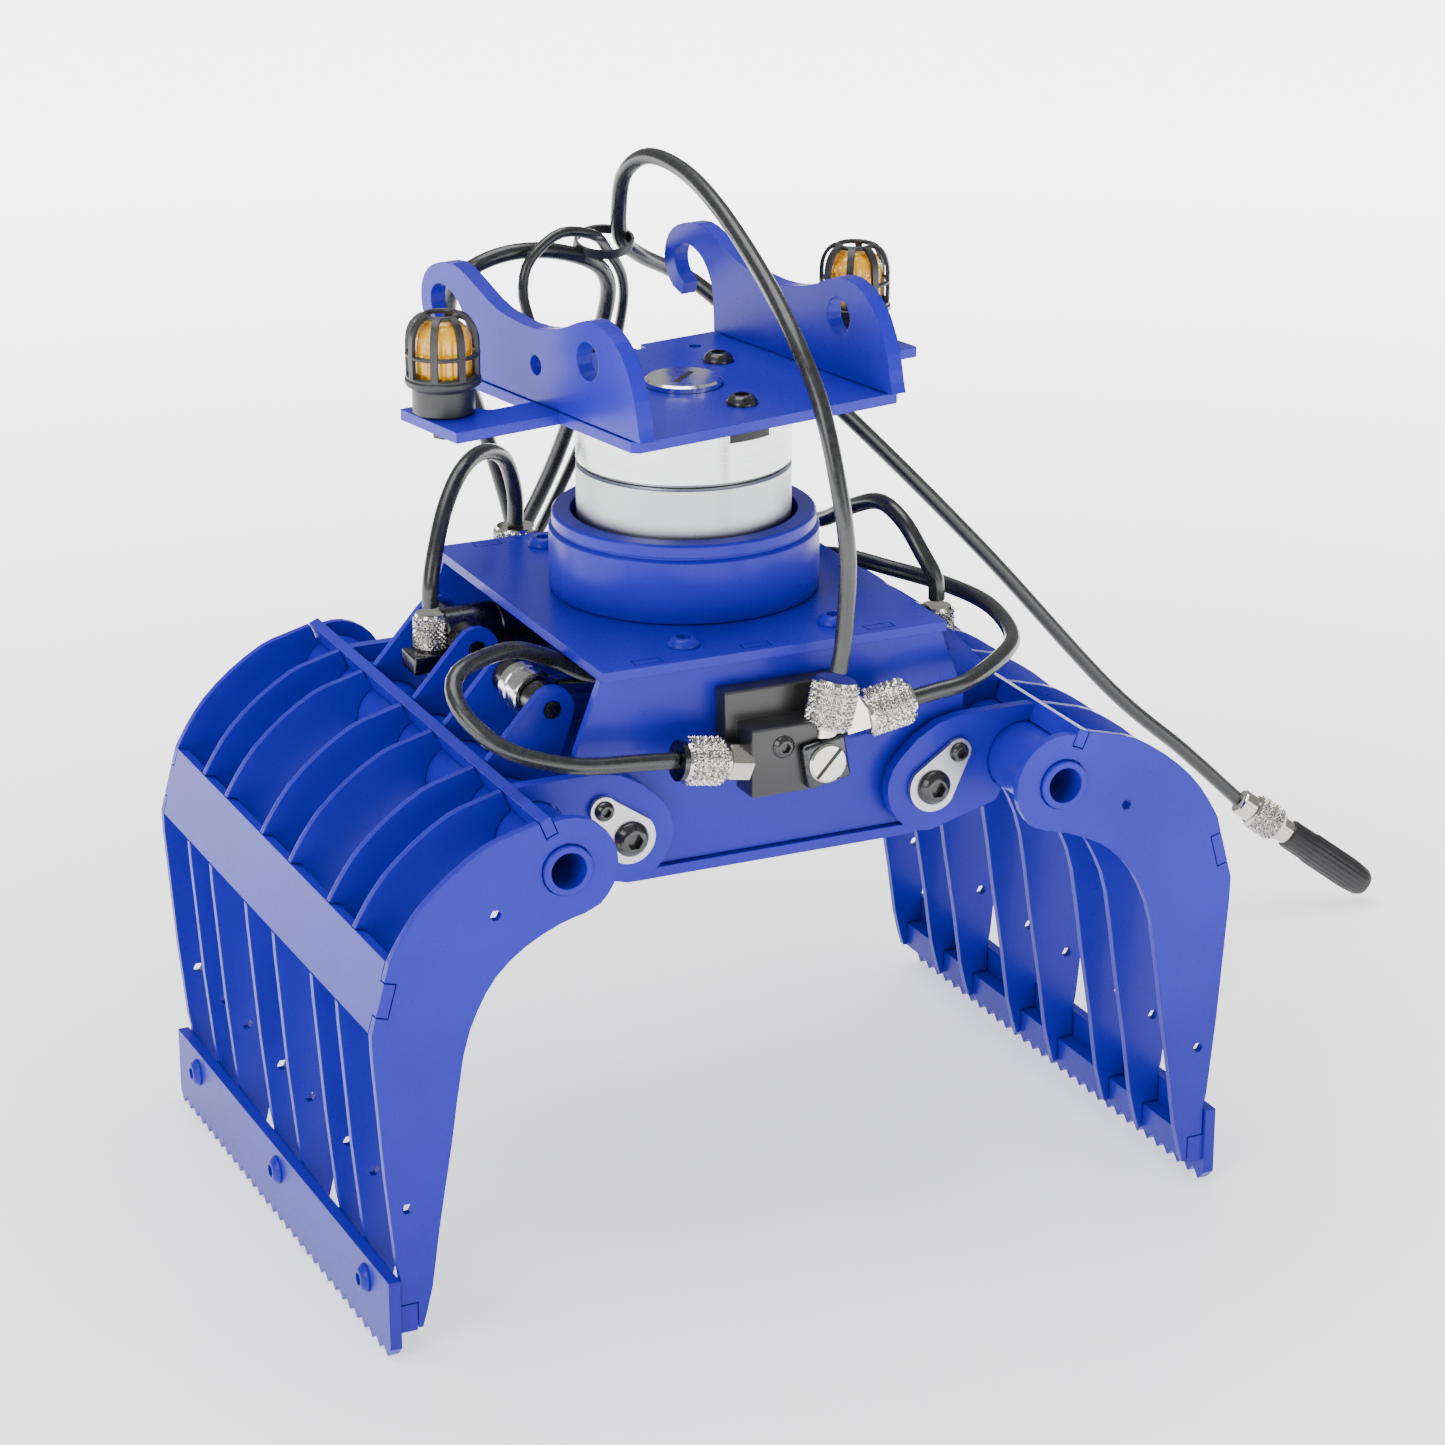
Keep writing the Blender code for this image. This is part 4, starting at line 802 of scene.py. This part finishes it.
def add_beacon(name, side):
    """A caged amber light: base, cage of eight bars and two rings, ribbed lens, lamp core and nut."""
    place = HANGER_TURN @ at(side * BEACON[0], BEACON[1], 0)
    base = lathe([
        (0.0, 195.4), (6.9, 195.4), (7.2, 195.7), (7.2, 201.2), (8.5, 202.0), (8.8, 202.5), (8.8, 203.4),
        (8.3, 203.9), (6.9, 203.9), (0.0, 203.9),
    ], 72)
    cage = [base, torus(8.1, 209.3, 0.55), torus(8.0, 204.1, 0.6), torus(4.1, 218.0, 0.6, 48)]
    arch = [Vector((8.1, 0, 204.0)), Vector((8.15, 0, 208.0)), Vector((8.1, 0, 212.0))]
    arch += [Vector((4.1 + 4.0 * math.cos(a), 0, 212.0 + 6.0 * math.sin(a)))
             for a in (math.radians(15.0 * i) for i in range(1, 7))]
    for i in range(8):
        bar = flat_bar(arch, Vector((0, 1, 0)), 0.85, 0.45)
        cage.append(moved(bar, Matrix.Rotation(i * TAU / 8, 4, "Z")))
    node = f"{name}_beacon"
    add_piece(node + "_cage", joined(cage), "black_plastic", "hanger", [node], place)

    def ribs(angle, z):
        return 0.22 * math.cos(angle * 24) if 204.0 < z < 213.0 else 0.0

    lens = [(0.0, 203.9), (6.4, 203.9), (6.5, 204.4)]
    lens += [(6.5, 204.4 + 8.4 * i / 6) for i in range(1, 7)]
    lens += [(6.2, 214.0), (5.5, 215.3), (4.2, 216.4), (2.4, 217.0), (0.0, 217.2)]
    add_piece(node + "_lens_look", lathe(lens, 144, ribs), "amber_lens", "hanger", [node + "_lens"], place)
    core = [(0.0, 204.0), (3.2, 204.0), (3.2, 211.0), (2.4, 212.6), (0.0, 213.2)]
    add_piece(node + "_core", lathe(core, 40), "core", "hanger", (), place)
    stud = prism(1.7, 189.0, 195.6, 20, 0.3)
    nut = prism(3.0, 189.4, 192.3, 6, 0.3)
    add_piece(node + "_nut", joined([stud, nut]), "black_screw", "hanger", (), place)


# ---------------------------------------------------------------- cylinders and hose blocks

def add_cylinder(row, y, cap_side):
    """One hydraulic cylinder, drawn along Z from its cap pin and laid along X."""
    x, z = CYLINDER_PIN
    barrel, rod = f"{row}_barrel", f"{row}_rod"
    laid = facing((cap_side * x, y, z), (-cap_side, 0, 0))
    profile = [
        (0.0, -4.0), (6.0, -4.0), (6.5, -3.5), (6.5, 9.0), (6.2, 9.3), (6.2, 9.9), (6.5, 10.2), (6.5, 57.0),
        (6.2, 57.3), (6.2, 57.9), (6.5, 58.2), (6.5, 67.5), (6.0, 68.0), (3.3, 68.0), (3.3, 63.0),
        (4.8, 63.0), (4.8, 7.0), (0.0, 7.0),
    ]
    add_piece(barrel + "_look", lathe(profile, 72), "gunmetal", barrel, [barrel], laid)
    outer = 1 if y > 0 else -1
    port_x = sorted((cap_side * (x + 12.4), cap_side * (x + 2.6)))
    gland_x = sorted((cap_side * (x - 58.1), cap_side * (x - 67.7)))
    gland_y = sorted((y + outer * 4.0, y + outer * 10.7))
    blocks = [
        rounded_block((port_x[0], y - 4.5, z - 7.9), (port_x[1], y + 4.5, z - 3.4), 0.6),
        rounded_block((gland_x[0], gland_y[0], z - 2.9), (gland_x[1], gland_y[1], z + 5.1), 0.6),
    ]
    add_piece(barrel + "_ports", joined(blocks), "gunmetal", barrel)
    nut_x = cap_side * (x + 6.3)
    nut = hose_nut((nut_x, y, z - 3.4), (nut_x, y, z + 6.0), 4.3)
    add_piece(barrel + "_port_nut", nut, "nickel", barrel)
    ring = lathe([(3.3, 68.0), (5.6, 68.0), (5.9, 67.7), (5.9, 66.0), (3.3, 66.0)], 64, closed_loop=True)
    add_piece(barrel + "_gland_ring", ring, "steel", barrel, (), laid)
    rod_x = -cap_side * x
    along = facing((rod_x, y, z), (cap_side, 0, 0))
    shaft = [(0.0, 82.0), (4.4, 82.0), (4.4, 77.0), (3.0, 76.8), (3.0, 2.0), (0.0, 2.0)]
    add_piece(rod + "_look", lathe(shaft, 64), "steel", rod, [rod], along)
    across = facing((rod_x, y, z), (0, 1, 0))
    eye = lathe([
        (2.0, -5.0), (5.4, -5.0), (5.8, -4.6), (5.8, -1.6), (5.5, -1.3), (5.5, 1.3), (5.8, 1.6), (5.8, 4.6),
        (5.4, 5.0), (2.0, 5.0),
    ], 64, closed_loop=True)
    add_piece(rod + "_eye", eye, "steel", rod, (), across)
    for end, body, centre in (("cap", barrel, cap_side * x), ("rod", rod, rod_x)):
        add_pin_stack(f"{row}_{end}_pin", body, centre, y)


def add_pin_stack(name, body, x, y):
    """A cylinder pin with a dark spacer and a bright washer each side."""
    z = CYLINDER_PIN[1]
    place = facing((x, y, z), (0, 1, 0))
    half = [(0.0, 14.3), (1.9, 14.3), (2.0, 14.1)]
    shank = [(r, -z) for r, z in half] + half[::-1]
    spacers = [lathe(shank, 32)]
    washers = []
    for side in (-1, 1):
        near, far = side * 5.6, side * 11.4
        edges = sorted((near, far))
        spacers.append(lathe([
            (2.0, edges[0]), (4.3, edges[0]), (4.6, edges[0] + 0.3), (4.6, edges[1] - 0.3), (4.3, edges[1]),
            (2.0, edges[1]),
        ], 48, closed_loop=True))
        rim = sorted((far, far + side * 0.5))
        washer = [(2.0, rim[0]), (4.0, rim[0]), (4.0, rim[1]), (2.0, rim[1])]
        washers.append(lathe(washer, 48, closed_loop=True))
    add_piece(name + "_spacers", joined(spacers), "gunmetal", body, (), place)
    add_piece(name + "_washers", joined(washers), "steel", body, (), place)


def add_front_block():
    """The front hose block with its elbow, slotted screw and three hose nuts."""
    face = -49.8
    blocks = [
        rounded_block((-15.0, face - 5.5, 117.0), (15.0, face, 138.3), 0.4),
        rounded_block((-12.0, face - 13.7, 115.2), (4.5, face - 5.0, 131.4), 0.4),
    ]
    add_piece("front_manifold_look", joined(blocks), "black_block", "frame", ["front_manifold"])
    socket = facing((-4.2, face - 13.6, 126.6), (0, -1, 0))
    add_screw("front_block_screw", socket, "frame", "black_screw", 2.7, 1.4)
    tilt = at(5.8, 0, 122.0) @ Matrix.Rotation(math.radians(-10.0), 4, "Y") @ at(-5.8, 0, -122.0)
    elbow = moved(rounded_block((0.3, face - 16.0, 116.5), (11.3, face - 7.0, 127.5), 1.1), tilt)
    add_piece("front_block_elbow", elbow, "gunmetal", "frame")
    hexes = [
        between(prism(4.6, 0.0, 5.9, 6, 0.4, 0.2), (-11.5, -60.0, 123.1), (-17.2, -60.0, 124.1)),
        between(prism(3.2, 0.0, 4.0, 24, 0.2), (-16.0, -60.0, 123.8), (-19.5, -60.0, 124.4)),
        between(prism(4.6, 0.0, 6.5, 6, 0.4, 0.4), (11.5, -59.7, 128.9), (18.0, -60.0, 129.9)),
        between(prism(3.2, 0.0, 9.5, 24, 0.2), (3.5, -59.4, 127.6), (12.8, -59.7, 129.0)),
        between(prism(3.2, 0.0, 7.5, 24, 0.2), (6.6, -62.0, 124.0), (7.8, -62.0, 131.0)),
    ]
    add_piece("front_block_stems", joined(hexes), "nickel", "frame")
    screw = lathe([(0.0, 0.9), (4.2, 0.9), (4.7, 0.5), (4.7, 0.0), (0.0, 0.0)], 64)
    place = facing((5.8, face - 16.0, 122.0), (0, -1, 0))
    add_piece("front_elbow_screw", screw, "nickel", "frame", (), place)
    # The screw's slot is a thin near-black block on its head: painted shade for the recess.
    slot = rounded_block((-4.4, -0.5, 0.5), (4.4, 0.5, 0.96), 0.1)
    slot_turn = Matrix.Rotation(math.radians(47.0), 4, "Z")
    add_piece("front_elbow_slot_shade", slot, "socket", "frame", (), place @ slot_turn)
    add_piece("front_left_nut", hose_nut((-17.6, -60.0, 124.1), (-27.8, -60.0, 125.8)), "nickel", "frame")
    ring = between(lathe([(2.1, 0.0), (4.7, 0.0), (4.7, 1.3), (2.1, 1.3)], 64, closed_loop=True),
                   (-27.8, -60.0, 125.8), (-29.1, -60.0, 126.0))
    add_piece("front_left_nut_ring", ring, "gunmetal", "frame")
    add_piece("front_right_nut", hose_nut((17.6, -60.0, 129.9), (29.3, -60.0, 131.8)), "nickel", "frame")
    add_piece("front_up_nut", hose_nut((7.5, -62.0, 129.2), (9.9, -62.0, 140.3)), "nickel", "frame")


def add_rear_block():
    """The rear hose block with its elbow and three hose nuts."""
    face = 49.8
    blocks = [
        rounded_block((-15.0, face, 117.0), (15.0, face + 5.5, 138.3), 0.4),
        rounded_block((-24.5, face + 2.5, 121.0), (14.0, face + 13.0, 131.0), 0.5),
        rounded_block((4.0, 51.5, 126.0), (13.0, 61.0, 142.6), 0.6),
    ]
    add_piece("rear_manifold_look", joined(blocks), "black_block", "frame", ["rear_manifold"])
    place = facing((-11.5, face + 12.9, 126.0), (0, 1, 0))
    add_screw("rear_block_screw", place, "frame", "black_screw", 2.7, 1.4)
    necks = [
        between(prism(3.2, 0.0, 8.0, 24, 0.2), (-20.0, 57.0, 129.0), (-20.0, 57.0, 137.0)),
        between(prism(4.6, 0.0, 4.6, 6, 0.4), (-20.0, 57.0, 131.0), (-20.0, 57.0, 136.0)),
        between(prism(3.2, 0.0, 4.0, 24, 0.2), (12.0, 56.0, 138.0), (16.0, 56.0, 138.0)),
        between(prism(4.6, 0.0, 2.7, 6, 0.4), (-5.0, face + 12.0, 126.0), (-5.0, face + 15.0, 126.0)),
    ]
    add_piece("rear_block_stems", joined(necks), "nickel", "frame")
    add_piece("rear_left_nut", hose_nut((-20.0, 57.0, 135.6), (-20.0, 57.0, 147.0)), "nickel", "frame")
    add_piece("rear_right_nut", hose_nut((14.6, 56.0, 138.0), (25.7, 56.0, 138.0)), "nickel", "frame")
    supply = hose_nut((-5.0, face + 14.5, 126.0), (-5.0, face + 25.5, 126.0))
    add_piece("rear_supply_nut", supply, "nickel", "frame")


# ---------------------------------------------------------------- the scene

def main():
    set_camera()
    add_cords()
    set_studio()
    paint_cad_nodes()
    add_captive_hoses()
    add_jaw_pieces("left_jaw", -1)
    add_jaw_pieces("right_jaw", 1)
    add_frame_pieces()
    add_rotator_top()
    add_hanger_pieces()
    add_cylinder("front", -CYLINDER_Y, 1)
    add_cylinder("rear", CYLINDER_Y, -1)
    add_front_block()
    add_rear_block()


main()
